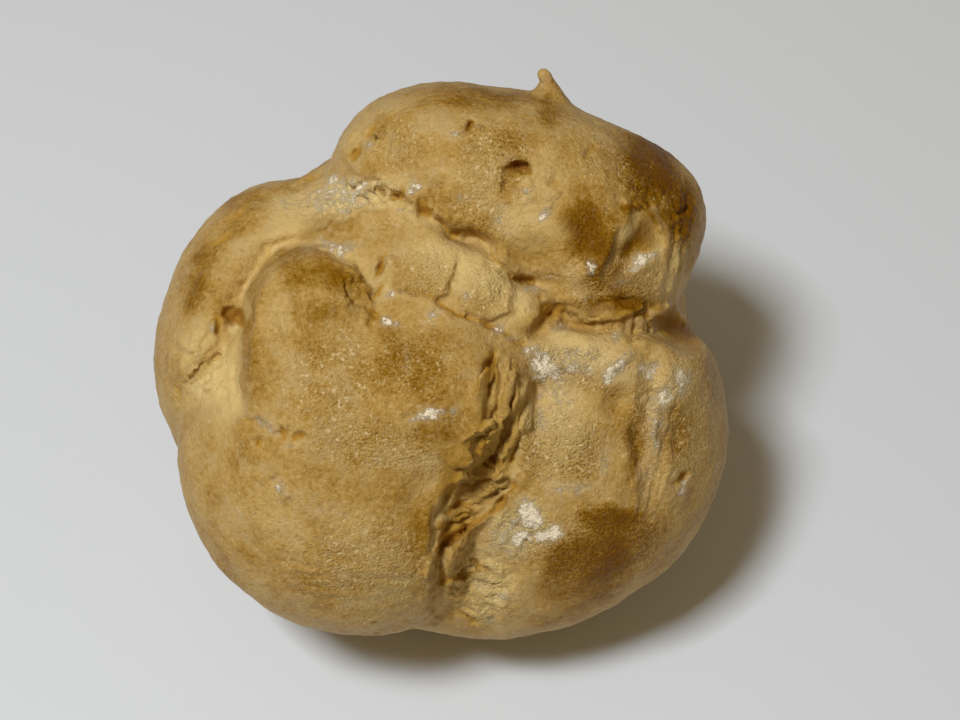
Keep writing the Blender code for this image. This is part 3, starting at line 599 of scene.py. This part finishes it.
def moved(points, matrix):
    """The points, one to a row, after the matrix."""
    matrix = np.array(matrix)
    return points @ matrix[:3, :3].T + matrix[:3, 3]


def turned(directions, matrix):
    return directions @ np.array(matrix)[:3, :3].T


def as_seen(points):
    """(across, up) of each point as the eye sees it on a card through the middle."""
    eye = np.array(EYE)
    return eye[:2] + (points[:, :2] - eye[:2]) * (EYE[2] / (EYE[2] - points[:, 2:]))


def smooth_step(low, high, value):
    share = np.clip((value - low) / (high - low), 0, 1)
    return share * share * (3 - 2 * share)


def rough(points, size, octaves=3, seed=0.0):
    """Uneven values, about -1 to 1, whose largest grain is this size, at each point."""
    places = (points / size + seed).tolist()
    return np.array([noise.fractal(place, 1.0, 2.0, octaves) for place in places])


def wander(points, size, seed=0.0):
    """Uneven offsets, about -1 to 1 on each axis, at each point."""
    places = (points / size + seed).tolist()
    return np.array([noise.noise_vector(place)[:] for place in places])


# ---------------------------------------------------------------- paths and ovals

def beside_path(seen, path):
    """How far each seen point is off a path, on its left if above 0, and the two
    values that the path carries there."""
    best = np.full(len(seen), np.inf)
    side = np.ones(len(seen))
    carried = np.zeros((len(seen), 2))
    for start, end in zip(path, path[1:]):
        start, end = np.array(start), np.array(end)
        along = end[:2] - start[:2]
        offset = seen - start[:2]
        share = np.clip(offset @ along / (along @ along), 0, 1)
        gap = offset - share[:, None] * along
        off = np.linalg.norm(gap, axis=1)
        nearer = off < best
        best[nearer] = off[nearer]
        turn = along[0] * gap[:, 1] - along[1] * gap[:, 0]
        side[nearer] = np.where(turn[nearer] >= 0, 1, -1)
        carried[nearer] = (start[2:] + share[:, None] * (end - start)[2:])[nearer]
    return best * side, carried[:, 0], carried[:, 1]


def near(seen, path, reach):
    corners = np.array([point[:2] for point in path])
    low, high = corners.min(axis=0) - reach, corners.max(axis=0) + reach
    return np.nonzero(((seen > low) & (seen < high)).all(axis=1))[0]


def cut_depth(seen, path, width):
    """How deep a cut is at each seen point, in mm."""
    depth = np.zeros(len(seen))
    some = near(seen, path, 4.0)
    off, half_width, deepest = beside_path(seen[some], path)
    depth[some] = deepest * smooth_step(1.4, 0.5, np.abs(off) / (half_width * width[some]))
    return depth


def fill_height(seen, path):
    """How far crumb fills a tear up again at each seen point, in mm."""
    height = np.zeros(len(seen))
    some = near(seen, path, 4.0)
    off, half_width, rise = beside_path(seen[some], path)
    height[some] = rise * smooth_step(1.3, 0.3, np.abs(off) / half_width)
    return height


def step_height(seen, path):
    """How far a step raises each seen point, in mm."""
    height = np.zeros(len(seen))
    some = near(seen, path, 6.0)
    off, rise, reach = beside_path(seen[some], path)
    lip = smooth_step(-0.15, 0.25, off) * smooth_step(1, 0, off / reach)
    under = np.exp(-(((off + 0.55) / 0.45) ** 2))
    height[some] = rise * (lip - UNDERCUT * under)
    return height


def oval_share(seen, middle, radii, turn, core=0.0):
    """1 in the core of an oval, down to 0 at its edge."""
    angle = math.radians(turn)
    offset = seen - np.array(middle)
    along = offset[:, 0] * math.cos(angle) + offset[:, 1] * math.sin(angle)
    across = offset[:, 1] * math.cos(angle) - offset[:, 0] * math.sin(angle)
    off = np.hypot(along / radii[0], across / radii[1])
    return smooth_step(1, core, off)


# ---------------------------------------------------------------- meshes

def get_points(mesh):
    points = np.empty(len(mesh.vertices) * 3)
    mesh.vertices.foreach_get("co", points)
    return points.reshape(-1, 3)


def get_normals(mesh):
    normals = np.empty(len(mesh.vertices) * 3)
    mesh.vertices.foreach_get("normal", normals)
    return normals.reshape(-1, 3)


def set_points(mesh, points):
    mesh.vertices.foreach_set("co", points.ravel())
    mesh.update()


def new_object(name, mesh):
    made = bpy.data.objects.new(name, mesh)
    bpy.context.scene.collection.objects.link(made)
    return made


def with_modifier(mesh, kind, group=None, **settings):
    """The mesh after one modifier."""
    source = new_object("source", mesh)
    if group is not None:
        weights = source.vertex_groups.new(name="share")
        for level in range(1, 11):
            chosen = np.nonzero(np.round(group * 10) == level)[0]
            weights.add(chosen.tolist(), level / 10, "REPLACE")
    modifier = source.modifiers.new(kind, kind)
    for name, value in settings.items():
        setattr(modifier, name, value)
    graph = bpy.context.evaluated_depsgraph_get()
    made = bpy.data.meshes.new_from_object(source.evaluated_get(graph))
    bpy.data.objects.remove(source)
    return made


def neighbour_mean(mesh, values, rounds):
    """The values, one to a point, each blended with those of its neighbours."""
    edges = np.empty(len(mesh.edges) * 2, dtype=np.int64)
    mesh.edges.foreach_get("vertices", edges)
    first, second = edges.reshape(-1, 2).T
    count = np.bincount(edges, minlength=len(values))
    for _ in range(rounds):
        total = np.bincount(first, values[second], len(values))
        total += np.bincount(second, values[first], len(values))
        values = 0.5 * values + 0.5 * total / np.maximum(count, 1)
    return values


def seen_share(mesh, local):
    """How far the eye sees each point: 1 in plain sight, 0 where the bun hides it."""
    tree = BVHTree.FromPolygons(
        local.tolist(), [face.vertices[:] for face in mesh.polygons]
    )
    eye = Vector(EYE)
    to_serving = serving_frame().inverted()
    facing_way = turned(get_normals(mesh), to_serving)
    sight = np.array(EYE) - local
    sight /= np.linalg.norm(sight, axis=1, keepdims=True)
    facing = (facing_way * sight).sum(axis=1)
    shown = np.zeros(len(local))
    lift = 0.25
    for index in np.nonzero(facing > 0)[0]:
        place = Vector(local[index])
        way = (eye - place).normalized()
        if tree.ray_cast(place + way * lift, way)[0] is None:
            shown[index] = 1.0
    shown = neighbour_mean(mesh, shown, 12)
    return shown, facing, sight


# ---------------------------------------------------------------- the crust

class Sight:
    """Where the eye sees each point of a mesh, and how far it sees it."""

    def __init__(self, mesh):
        to_serving = serving_frame().inverted()
        self.local = moved(get_points(mesh), to_serving) / MM
        plain, facing, self.way = seen_share(mesh, self.local)
        self.shown = plain * smooth_step(0.0, 0.35, facing)
        self.coloured = np.maximum(plain, smooth_step(0.5, 0.0, np.abs(facing))) * smooth_step(-0.3, 0.0, facing)
        self.toward = smooth_step(-0.5, 0.1, facing)
        self.behind = smooth_step(-0.1, -0.4, facing)
        self.seen = as_seen(self.local)
        flat = np.column_stack([self.seen, np.zeros(len(self.seen))])
        self.ragged = self.seen + 0.35 * wander(flat, 1.6)[:, :2]
        self.ragged += 0.18 * wander(flat, 0.6, 7.0)[:, :2]
        self.torn = self.ragged + 0.7 * wander(flat, 2.6, 3.0)[:, :2]
        self.width = 1 + 0.5 * rough(flat, 1.4, 2, 9.0)


def cut_everywhere(sight):
    """How deep the deepest cut is at each seen point, in mm."""
    deepest = np.zeros(len(sight.seen))
    for path in CUTS.values():
        deepest = np.maximum(deepest, cut_depth(sight.ragged, path, sight.width))
    return deepest


def bubble_depth(sight):
    """How deep burst bubbles reach: hollows with thin skins left between them."""
    depth = np.zeros(len(sight.seen))
    for seed, (middle, radii, turn, deep, direction, length, width) in enumerate(BUBBLES.values()):
        share = oval_share(sight.ragged, middle, radii, turn, 0.3)
        some = np.nonzero(share > 0.01)[0]
        angle = math.radians(direction)
        seen = sight.torn[some]
        along = seen[:, 0] * math.cos(angle) + seen[:, 1] * math.sin(angle)
        across = seen[:, 1] * math.cos(angle) - seen[:, 0] * math.sin(angle)
        places = np.column_stack([along / length, across / width, np.full(len(some), 5.0 * seed)])
        gaps = np.array([noise.voronoi(place)[0][:2] for place in places.tolist()]).reshape(-1, 2)
        hollow = smooth_step(0.0, 0.8, gaps[:, 1] - gaps[:, 0])
        depth[some] = np.maximum(depth[some], deep * share[some] * hollow)
    return depth


def carve(mesh):
    """Presses the cuts, steps and swells that the eye sees into the mesh."""
    sight = Sight(mesh)
    height = -cut_everywhere(sight) - bubble_depth(sight)
    for path in STEPS.values():
        height += step_height(sight.torn, path)
    for middle, radii, turn, rise in SWELLS.values():
        height += rise * oval_share(sight.seen, middle, radii, turn)
    height *= sight.shown
    for path in FILLS.values():
        height += fill_height(sight.seen, path) * sight.toward
    shifted = sight.local + height[:, None] * sight.way
    points = moved(shifted * MM, serving_frame())
    points[:, 2] = np.maximum(points[:, 2], 0)
    set_points(mesh, points)


def fibre_height(sight):
    """Strands and flakes drawn out in the direction in which the dough tore."""
    height = np.zeros(len(sight.seen))
    for seed, (middle, radii, turn, rise, direction) in enumerate(FIBRES.values()):
        share = oval_share(sight.ragged, middle, radii, turn)
        some = np.nonzero(share > 0.01)[0]
        angle = math.radians(direction)
        seen = sight.ragged[some]
        along = seen[:, 0] * math.cos(angle) + seen[:, 1] * math.sin(angle)
        across = seen[:, 1] * math.cos(angle) - seen[:, 0] * math.sin(angle)
        strands = np.column_stack([along / 4.0, across / 0.75, sight.local[some, 2] / 2.5])
        height[some] += rise * np.sqrt(share[some]) * 2.2 * rough(strands, 1.0, 2, 3.1 * seed)
    return height


def crumb_height(sight):
    """Broken-open bubbles where the crumb shows, and flaking grain."""
    depth = np.zeros(len(sight.seen))
    for middle, radii, turn, rise in CRUMB.values():
        share = oval_share(sight.ragged, middle, radii, turn)
        depth = np.maximum(depth, rise * np.sqrt(share))
    some = np.nonzero(depth > 0.01)[0]
    bubbles = rough(sight.local[some], 1.5, 4, 11.0)
    grain = rough(sight.local[some], 0.6, 2, 5.0)
    open_share = smooth_step(0.0, 0.5, bubbles)
    height = np.zeros(len(sight.seen))
    height[some] = depth[some] * (1.8 * bubbles + 0.9 * grain - 0.8 * open_share)
    return height


def pinholes(points, spacing, chance, radius, depth, seed):
    """Depths of small round holes strewn over the crust, at each point."""
    places = points / spacing + seed
    height = np.zeros(len(points))
    for index, place in enumerate(places.tolist()):
        gaps, holes = noise.voronoi(place)
        luck = abs(noise.cell(holes[0] * 7.3))
        if luck < chance:
            size = radius * (0.5 + luck / chance)
            off = gaps[0] * spacing / size
            if off < 1:
                height[index] = -depth * (1 - off * off)
    return height


def zones(seen, ovals, core=0.35, spread=1.0):
    total = np.zeros(len(seen))
    for middle, radii, turn, share in ovals.values():
        wide = (spread * radii[0], spread * radii[1])
        total = np.maximum(total, share * oval_share(seen, middle, wide, turn, core))
    return total


def step_sides(seen):
    """How near each seen point is to a step's upper and to its lower side."""
    upper, lower = np.zeros(len(seen)), np.zeros(len(seen))
    for path in STEPS.values():
        some = near(seen, path, 4.0)
        off, rise, _ = beside_path(seen[some], path)
        rise = np.minimum(rise, 1)
        upper[some] = np.maximum(upper[some], rise * smooth_step(-0.1, 0.2, off) * smooth_step(3.5, 0.5, off))
        lower[some] = np.maximum(lower[some], rise * smooth_step(0.2, -0.1, off) * smooth_step(-1.8, -0.4, off))
    return upper, lower


def finish_relief(mesh):
    """Raises the finer relief, and keeps what each point's colour depends on."""
    sight = Sight(mesh)
    points = get_points(mesh) / MM
    normals = get_normals(mesh)
    shown = sight.shown
    coloured = sight.coloured
    hidden = 1 - coloured
    above = smooth_step(0.0, 2.5, points[:, 2])
    lumps = rough(points, 4.5, 3, 2.0)
    grain = rough(points, 1.1, 3, 4.0)
    height = 0.12 * lumps + 0.08 * grain
    height += shown * (fibre_height(sight) + crumb_height(sight))
    height += pinholes(points, 1.9, 0.07, 0.30, 0.22, 8.0)

    # what the serving side hides: wandering cracks, with crumb showing in them
    seams = np.abs(rough(points + 1.5 * wander(points, 6.0) + 0.7 * wander(points, 1.7), 13.0, 2, 21.0))
    cracked = smooth_step(0.045, 0.0, seams) * smooth_step(-0.15, 0.15, rough(points, 16.0, 2, 33.0))
    height -= 0.9 * cracked * hidden
    height *= above
    set_points(mesh, (points + height[:, None] * normals) * MM)

    # the depth of the cuts also darkens their colour below: painted shade
    cut = (cut_everywhere(sight) + 0.5 * bubble_depth(sight)) * coloured
    upper, lower = step_sides(sight.torn)
    # this value is the oven's browning, with painted shade from some of the browned ovals and painted light from the
    # pale rims
    browned_with_painted_light = 1.15 * zones(sight.torn, BROWNED_AND_SHADED, 0.2) * (1 + 0.4 * rough(points, 1.8, 2, 61.0))
    browned_with_painted_light += 0.3 * upper - 0.1 * lower - zones(sight.ragged, PALE_AND_LIT)
    edge = [(*point, 0, 0) for point in PATCH_EDGE]
    patch = smooth_step(0.5, -0.5, beside_path(sight.ragged, edge)[0])
    browned_with_painted_light = np.maximum(browned_with_painted_light, patch * zones(sight.ragged, BROWN_PATCH, 0.25))
    wide = rough(points, 11.0, 3, 40.0)
    looks = {
        "browned_with_painted_light": browned_with_painted_light * coloured + hidden * (0.2 + 0.55 * wide),
        "torn": np.maximum(zones(sight.torn, TORN) * (1 - 0.8 * upper), 0.5 * lower) * coloured
        + 0.8 * hidden * smooth_step(0.14, 0.0, seams) * cracked,
        "floured": 1.25 * zones(sight.torn, FLOURED, 0.1, 1.3) * coloured
        + 0.55 * hidden * smooth_step(0.25, 0.6, rough(points, 8.0, 2, 55.0)),
        # deep: painted shade, darker with cut depth, in the hollow ovals and in the hidden cracks
        "deep": np.maximum(cut / 2.8, zones(sight.ragged, HOLLOW_SHADE) * coloured) + 0.25 * cracked * hidden,
    }
    looks["grainy"] = 0.25 + 0.75 * np.where(coloured > 0, zones(sight.ragged, GRAINY) * coloured, 0)
    looks["grainy"] += 0.5 * hidden * smooth_step(0.0, 0.4, rough(points, 9.0, 2, 70.0))
    for name, values in looks.items():
        attribute = mesh.attributes.new(name, "FLOAT", "POINT")
        attribute.data.foreach_set("value", values)
    return sight.behind


def add_flakes(mesh):
    """Joins thin flakes of crust, and the piped tip, to the mesh."""
    tree = BVHTree.FromPolygons(
        (moved(get_points(mesh), serving_frame().inverted()) / MM).tolist(),
        [face.vertices[:] for face in mesh.polygons],
    )
    eye = Vector(EYE)
    shape = bmesh.new()
    shape.from_mesh(mesh)
    shape.transform(Matrix.Scale(1 / MM, 4) @ serving_frame().inverted())
    for (across, up), radii, turn, tip_up, lift in FLAKES.values():
        way = (Vector((across, up, 0)) - eye).normalized()
        place, normal = tree.ray_cast(eye, way)[:2]
        if place is None:
            continue
        side = Vector((0, 1, 0)).cross(normal).normalized()
        lie = Matrix((side, normal.cross(side), normal)).transposed().to_4x4()
        lie = Matrix.Translation(place - way * lift) @ lie
        lie = lie @ Matrix.Rotation(math.radians(turn), 4, "Z") @ Matrix.Rotation(math.radians(tip_up), 4, "X")
        made = bmesh.ops.create_icosphere(shape, subdivisions=4, radius=1)["verts"]
        bmesh.ops.scale(shape, vec=radii, verts=made)
        for vert in made:
            vert.co += 0.22 * noise.noise_vector(vert.co * 1.1 + place)
        bmesh.ops.transform(shape, matrix=lie, verts=made)
    for place, radius in NOZZLE_TIP:
        bmesh.ops.create_icosphere(shape, subdivisions=3, radius=radius, matrix=Matrix.Translation(place))
    shape.transform(serving_frame() @ Matrix.Scale(MM, 4))
    shape.to_mesh(mesh)
    shape.free()


def thinned(mesh, behind):
    """The mesh with fewer triangles, fewest where the eye doesn't see it."""
    triangles = sum(len(face.vertices) - 2 for face in mesh.polygons)
    fine = BVHTree.FromPolygons(
        (get_points(mesh) / MM).tolist(), [face.vertices[:] for face in mesh.polygons]
    )
    thin = with_modifier(
        mesh, "DECIMATE", group=0.2 + 0.8 * behind, ratio=CRUST_TRIANGLES / triangles,
        vertex_group="share", vertex_group_factor=HIDDEN_SHARE,
    )
    points = get_points(thin)
    for index, point in enumerate((points / MM).tolist()):
        place, _, _, off = fine.find_nearest(point)
        if off > 0.05:
            points[index] = np.array(place) * MM
    set_points(thin, points)
    print("triangles", triangles, len(thin.polygons), points.min(axis=0), points.max(axis=0), sum(behind > 0.5), (points[:, 1] > 0).sum(), len(points))
    return thin


def make_crust():
    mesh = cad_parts["puff"].data.copy()
    mesh.materials.clear()
    shape = bmesh.new()
    shape.from_mesh(mesh)
    bmesh.ops.remove_doubles(shape, verts=shape.verts, dist=0.001 * MM)
    shape.to_mesh(mesh)
    shape.free()
    mesh = with_modifier(mesh, "REMESH", mode="VOXEL", voxel_size=CARVE_VOXEL)
    mesh = with_modifier(mesh, "SMOOTH", factor=0.5, iterations=14)
    carve(mesh)
    add_flakes(mesh)
    mesh = with_modifier(mesh, "REMESH", mode="VOXEL", voxel_size=FINE_VOXEL)
    mesh = with_modifier(mesh, "SMOOTH", factor=0.4, iterations=2)
    behind = finish_relief(mesh)
    mesh = thinned(mesh, behind)
    for face in mesh.polygons:
        face.use_smooth = True
    crust = new_object("crust", mesh)
    crust.data.materials.append(crust_material())
    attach(crust, "root")
    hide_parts("puff")
    return crust


# ---------------------------------------------------------------- materials

def linear(colour):
    """The linear colour of an sRGB hex value."""
    parts = [int(colour[place : place + 2], 16) / 255 for place in (1, 3, 5)]
    light = [
        part / 12.92 if part <= 0.04045 else ((part + 0.055) / 1.055) ** 2.4
        for part in parts
    ]
    return (*light, 1.0)


def per(size):
    """The scale of a pattern whose grain is this many mm."""
    return 1 / (size * MM)


def add_node(tree, kind, inputs=None, **settings):
    """Adds a node with its settings, and its inputs as values or as links."""
    node = tree.nodes.new(kind)
    for name, value in settings.items():
        setattr(node, name, value)
    for name, value in (inputs or {}).items():
        if isinstance(value, bpy.types.NodeSocket):
            tree.links.new(value, node.inputs[name])
        else:
            node.inputs[name].default_value = value
    return node


def set_stops(ramp, stops):
    """Gives a colour ramp its colours, from 0 to 1."""
    first, last = ramp.elements
    first.color = linear(stops[0.0])
    last.color = linear(stops[1.0])
    for share in sorted(stops)[1:-1]:
        ramp.elements.new(share).color = linear(stops[share])


def crust_material():
    """Baked choux crust: a thin skin of dried egg and starch, tanned by the oven."""
    material = bpy.data.materials.new("baked choux crust")
    material.use_nodes = True
    tree = material.node_tree
    shader = tree.nodes["Principled BSDF"]
    place = add_node(tree, "ShaderNodeTexCoord").outputs["Object"]
    looks = {
        name: add_node(tree, "ShaderNodeAttribute", attribute_name=name).outputs["Fac"]
        for name in ("browned_with_painted_light", "torn", "floured", "deep", "grainy")
    }
    # the oven tans it unevenly: in patches, in freckles and in fine grain; the browned value also brings painted shade
    # in the cleft, under the chin's lip, around the dimple and on the cap's right rim, and painted light along the
    # right and lower rims
    patches = add_node(tree, "ShaderNodeTexNoise", {"Vector": place, "Scale": per(5.0), "Detail": 4.0, "Roughness": 0.55})
    grain = add_node(tree, "ShaderNodeTexNoise", {"Vector": place, "Scale": per(0.5), "Detail": 3.0, "Roughness": 0.7})
    fine = add_node(tree, "ShaderNodeTexNoise", {"Vector": place, "Scale": per(0.27), "Detail": 2.0, "Roughness": 0.6})
    pores = add_node(tree, "ShaderNodeTexVoronoi", {"Vector": place, "Scale": per(1.3)})
    pore = add_node(tree, "ShaderNodeMapRange", {"Value": pores.outputs["Distance"], "From Min": 0.08, "From Max": 0.22, "To Min": 1.0, "To Max": 0.0}, interpolation_type="SMOOTHSTEP")

    uneven = add_node(tree, "ShaderNodeMath", {0: patches.outputs["Fac"], 1: 0.8, 2: -0.16}, operation="MULTIPLY_ADD")
    freckled = add_node(tree, "ShaderNodeMath", {0: grain.outputs["Fac"], 1: 0.55, 2: uneven.outputs[0]}, operation="MULTIPLY_ADD")
    specked = add_node(tree, "ShaderNodeMath", {0: fine.outputs["Fac"], 1: -0.5}, operation="ADD")
    granular = add_node(tree, "ShaderNodeMath", {0: specked.outputs[0], 1: looks["grainy"]}, operation="MULTIPLY")
    speckled = add_node(tree, "ShaderNodeMath", {0: granular.outputs[0], 1: 0.8, 2: freckled.outputs[0]}, operation="MULTIPLY_ADD")
    tanned_with_painted_light = add_node(tree, "ShaderNodeMath", {0: looks["browned_with_painted_light"], 1: 0.42, 2: speckled.outputs[0]}, operation="MULTIPLY_ADD")
    tan_and_painted_light = add_node(tree, "ShaderNodeValToRGB", {"Fac": tanned_with_painted_light.outputs[0]})
    set_stops(tan_and_painted_light.color_ramp, {0.0: "#dcc496", 0.35: "#c6a666", 0.58: "#b18a44", 0.80: "#8a600c", 1.0: "#734700"})

    # dried starch greys it; painted highlights, light specks mixed into the colour, stand in for grains catching the
    # light
    starch = add_node(tree, "ShaderNodeTexNoise", {"Vector": place, "Scale": per(2.6), "Detail": 6.0, "Roughness": 0.75})
    scorched = add_node(tree, "ShaderNodeMath", {0: looks["browned_with_painted_light"], 1: -0.2, 2: starch.outputs["Fac"]}, operation="MULTIPLY_ADD")
    starchy = add_node(tree, "ShaderNodeMapRange", {"Value": scorched.outputs[0], "From Min": 0.46, "From Max": 0.66, "To Min": 0.0, "To Max": 0.5}, interpolation_type="SMOOTHSTEP")
    greyed = add_node(tree, "ShaderNodeMix", {"Factor": starchy.outputs[0], "A": tan_and_painted_light.outputs["Color"], "B": linear("#c0a572")}, data_type="RGBA")
    glints = add_node(tree, "ShaderNodeTexNoise", {"Vector": place, "Scale": per(0.42), "Detail": 1.0, "Roughness": 0.5})
    glint = add_node(tree, "ShaderNodeMapRange", {"Value": glints.outputs["Fac"], "From Min": 0.60, "From Max": 0.72, "To Min": 0.0, "To Max": 0.75}, interpolation_type="SMOOTHSTEP")
    unbrowned = add_node(tree, "ShaderNodeMapRange", {"Value": looks["browned_with_painted_light"], "From Min": 0.2, "From Max": 0.8, "To Min": 1.0, "To Max": 0.15})
    strewn = add_node(tree, "ShaderNodeMath", {0: glint.outputs[0], 1: looks["grainy"]}, operation="MULTIPLY")
    shining = add_node(tree, "ShaderNodeMath", {0: strewn.outputs[0], 1: unbrowned.outputs[0]}, operation="MULTIPLY")
    glint_painted_colour = add_node(tree, "ShaderNodeMix", {"Factor": shining.outputs[0], "A": greyed.outputs["Result"], "B": linear("#e9cf98")}, data_type="RGBA")

    # where it tore while it rose, the moist yellow crumb dried without tanning
    torn = add_node(tree, "ShaderNodeMath", {0: looks["torn"], 1: grain.outputs["Fac"]}, operation="MULTIPLY")
    torn_share = add_node(tree, "ShaderNodeMath", {0: torn.outputs[0], 1: 1.5}, operation="MULTIPLY", use_clamp=True)
    crumb = add_node(tree, "ShaderNodeMix", {"Factor": torn_share.outputs[0], "A": glint_painted_colour.outputs["Result"], "B": linear("#e3c884")}, data_type="RGBA")

    # painted shade in the tears and hollows: the colour turns orange and then dark with depth, standing in for shade
    # and for light bounced inside them
    hollow_shade = add_node(tree, "ShaderNodeValToRGB", {"Fac": looks["deep"]})
    set_stops(hollow_shade.color_ramp, {0.0: "#b69246", 0.3: "#ae822c", 0.6: "#966216", 1.0: "#76380c"})
    hollow_shade_share = add_node(tree, "ShaderNodeMapRange", {"Value": looks["deep"], "From Min": 0.02, "From Max": 0.3, "To Min": 0.0, "To Max": 0.9})
    hollow_shaded = add_node(tree, "ShaderNodeMix", {"Factor": hollow_shade_share.outputs[0], "A": crumb.outputs["Result"], "B": hollow_shade.outputs["Color"]}, data_type="RGBA")

    # flour clings in patches and between the grains
    clots = add_node(tree, "ShaderNodeTexNoise", {"Vector": place, "Scale": per(0.8), "Detail": 7.0, "Roughness": 0.9})
    clotted = add_node(tree, "ShaderNodeMath", {0: clots.outputs["Fac"], 1: 6.0, 2: looks["floured"]}, operation="MULTIPLY_ADD")
    flour = add_node(tree, "ShaderNodeMapRange", {"Value": clotted.outputs[0], "From Min": 3.7, "From Max": 4.3, "To Min": 0.0, "To Max": 1.0}, interpolation_type="SMOOTHSTEP")
    veil = add_node(tree, "ShaderNodeMath", {0: looks["floured"], 1: 0.12, 2: flour.outputs[0]}, operation="MULTIPLY_ADD", use_clamp=True)
    dusted = add_node(tree, "ShaderNodeMix", {"Factor": veil.outputs[0], "A": hollow_shaded.outputs["Result"], "B": linear("#fae8c4")}, data_type="RGBA")
    shader.inputs["Roughness"].default_value = 0.46
    shader.inputs["Subsurface Weight"].default_value = 0.05
    shader.inputs["Specular IOR Level"].default_value = 0.2
    shader.inputs["Specular Tint"].default_value = linear("#f2cf96")
    shader.inputs["Subsurface Radius"].default_value = (1.0, 0.7, 0.35)
    shader.inputs["Subsurface Scale"].default_value = 1.2 * MM

    # fine grain and pores, too small to be cut
    rubbed = add_node(tree, "ShaderNodeMath", {0: grain.outputs["Fac"], 1: 0.55, 2: granular.outputs[0]}, operation="MULTIPLY_ADD")
    raised = add_node(tree, "ShaderNodeMath", {0: patches.outputs["Fac"], 1: 0.8, 2: rubbed.outputs[0]}, operation="MULTIPLY_ADD")
    pitted = add_node(tree, "ShaderNodeMath", {0: pore.outputs[0], 1: -0.2, 2: raised.outputs[0]}, operation="MULTIPLY_ADD")
    powdered = add_node(tree, "ShaderNodeMath", {0: flour.outputs[0], 1: 0.15, 2: pitted.outputs[0]}, operation="MULTIPLY_ADD")
    bump = add_node(tree, "ShaderNodeBump", {"Height": powdered.outputs[0], "Strength": 1.0, "Distance": 0.32 * MM})
    tree.links.new(dusted.outputs["Result"], shader.inputs["Base Color"])
    tree.links.new(bump.outputs["Normal"], shader.inputs["Normal"])
    return material


# ---------------------------------------------------------------- stage

def make_stage():
    shape = bmesh.new()
    bmesh.ops.create_grid(shape, x_segments=1, y_segments=1, size=1.5)
    mesh = bpy.data.meshes.new("floor")
    shape.to_mesh(mesh)
    shape.free()
    floor = new_object("floor", mesh)
    material = bpy.data.materials.new("white stoneware glaze")
    material.use_nodes = True
    shader = material.node_tree.nodes["Principled BSDF"]
    shader.inputs["Base Color"].default_value = linear("#dcdfde")
    shader.inputs["Roughness"].default_value = 0.5
    mesh.materials.append(material)


def make_light():
    light = bpy.data.lights.new("window", "AREA")
    light.size = 0.10
    light.energy = 1.9
    light.color = (1.0, 1.05, 1.15)
    lamp = bpy.data.objects.new("window", light)
    bpy.context.scene.collection.objects.link(lamp)
    lamp.location = MIDDLE + LAMP_AWAY * Vector(LAMP_SIDE).normalized()
    lamp.rotation_euler = Vector(LAMP_SIDE).to_track_quat("Z", "Y").to_euler()
    world = bpy.data.worlds.new("room")
    world.use_nodes = True
    world.node_tree.nodes["Background"].inputs["Color"].default_value = (1.0, 0.80, 0.52, 1.0)
    world.node_tree.nodes["Background"].inputs["Strength"].default_value = 0.21
    bpy.context.scene.world = world


def make_camera():
    camera = bpy.data.cameras.new("serving side")
    camera.sensor_width = 36
    camera.lens = 36 * LENS_PER_SENSOR
    camera.clip_start = 0.01
    eye = bpy.data.objects.new("serving side", camera)
    bpy.context.scene.collection.objects.link(eye)
    eye.matrix_world = serving_frame() @ Matrix.Translation(Vector(EYE) * MM)
    bpy.context.scene.camera = eye


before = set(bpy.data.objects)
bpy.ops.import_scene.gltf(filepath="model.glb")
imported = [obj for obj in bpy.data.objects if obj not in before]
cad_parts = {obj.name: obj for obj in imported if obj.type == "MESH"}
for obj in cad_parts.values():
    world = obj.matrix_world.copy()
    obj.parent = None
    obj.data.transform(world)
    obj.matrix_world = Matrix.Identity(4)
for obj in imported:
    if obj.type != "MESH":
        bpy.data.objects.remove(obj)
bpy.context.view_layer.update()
bpy.context.scene.view_settings.view_transform = "Standard"
make_crust()
make_stage()
make_light()
make_camera()
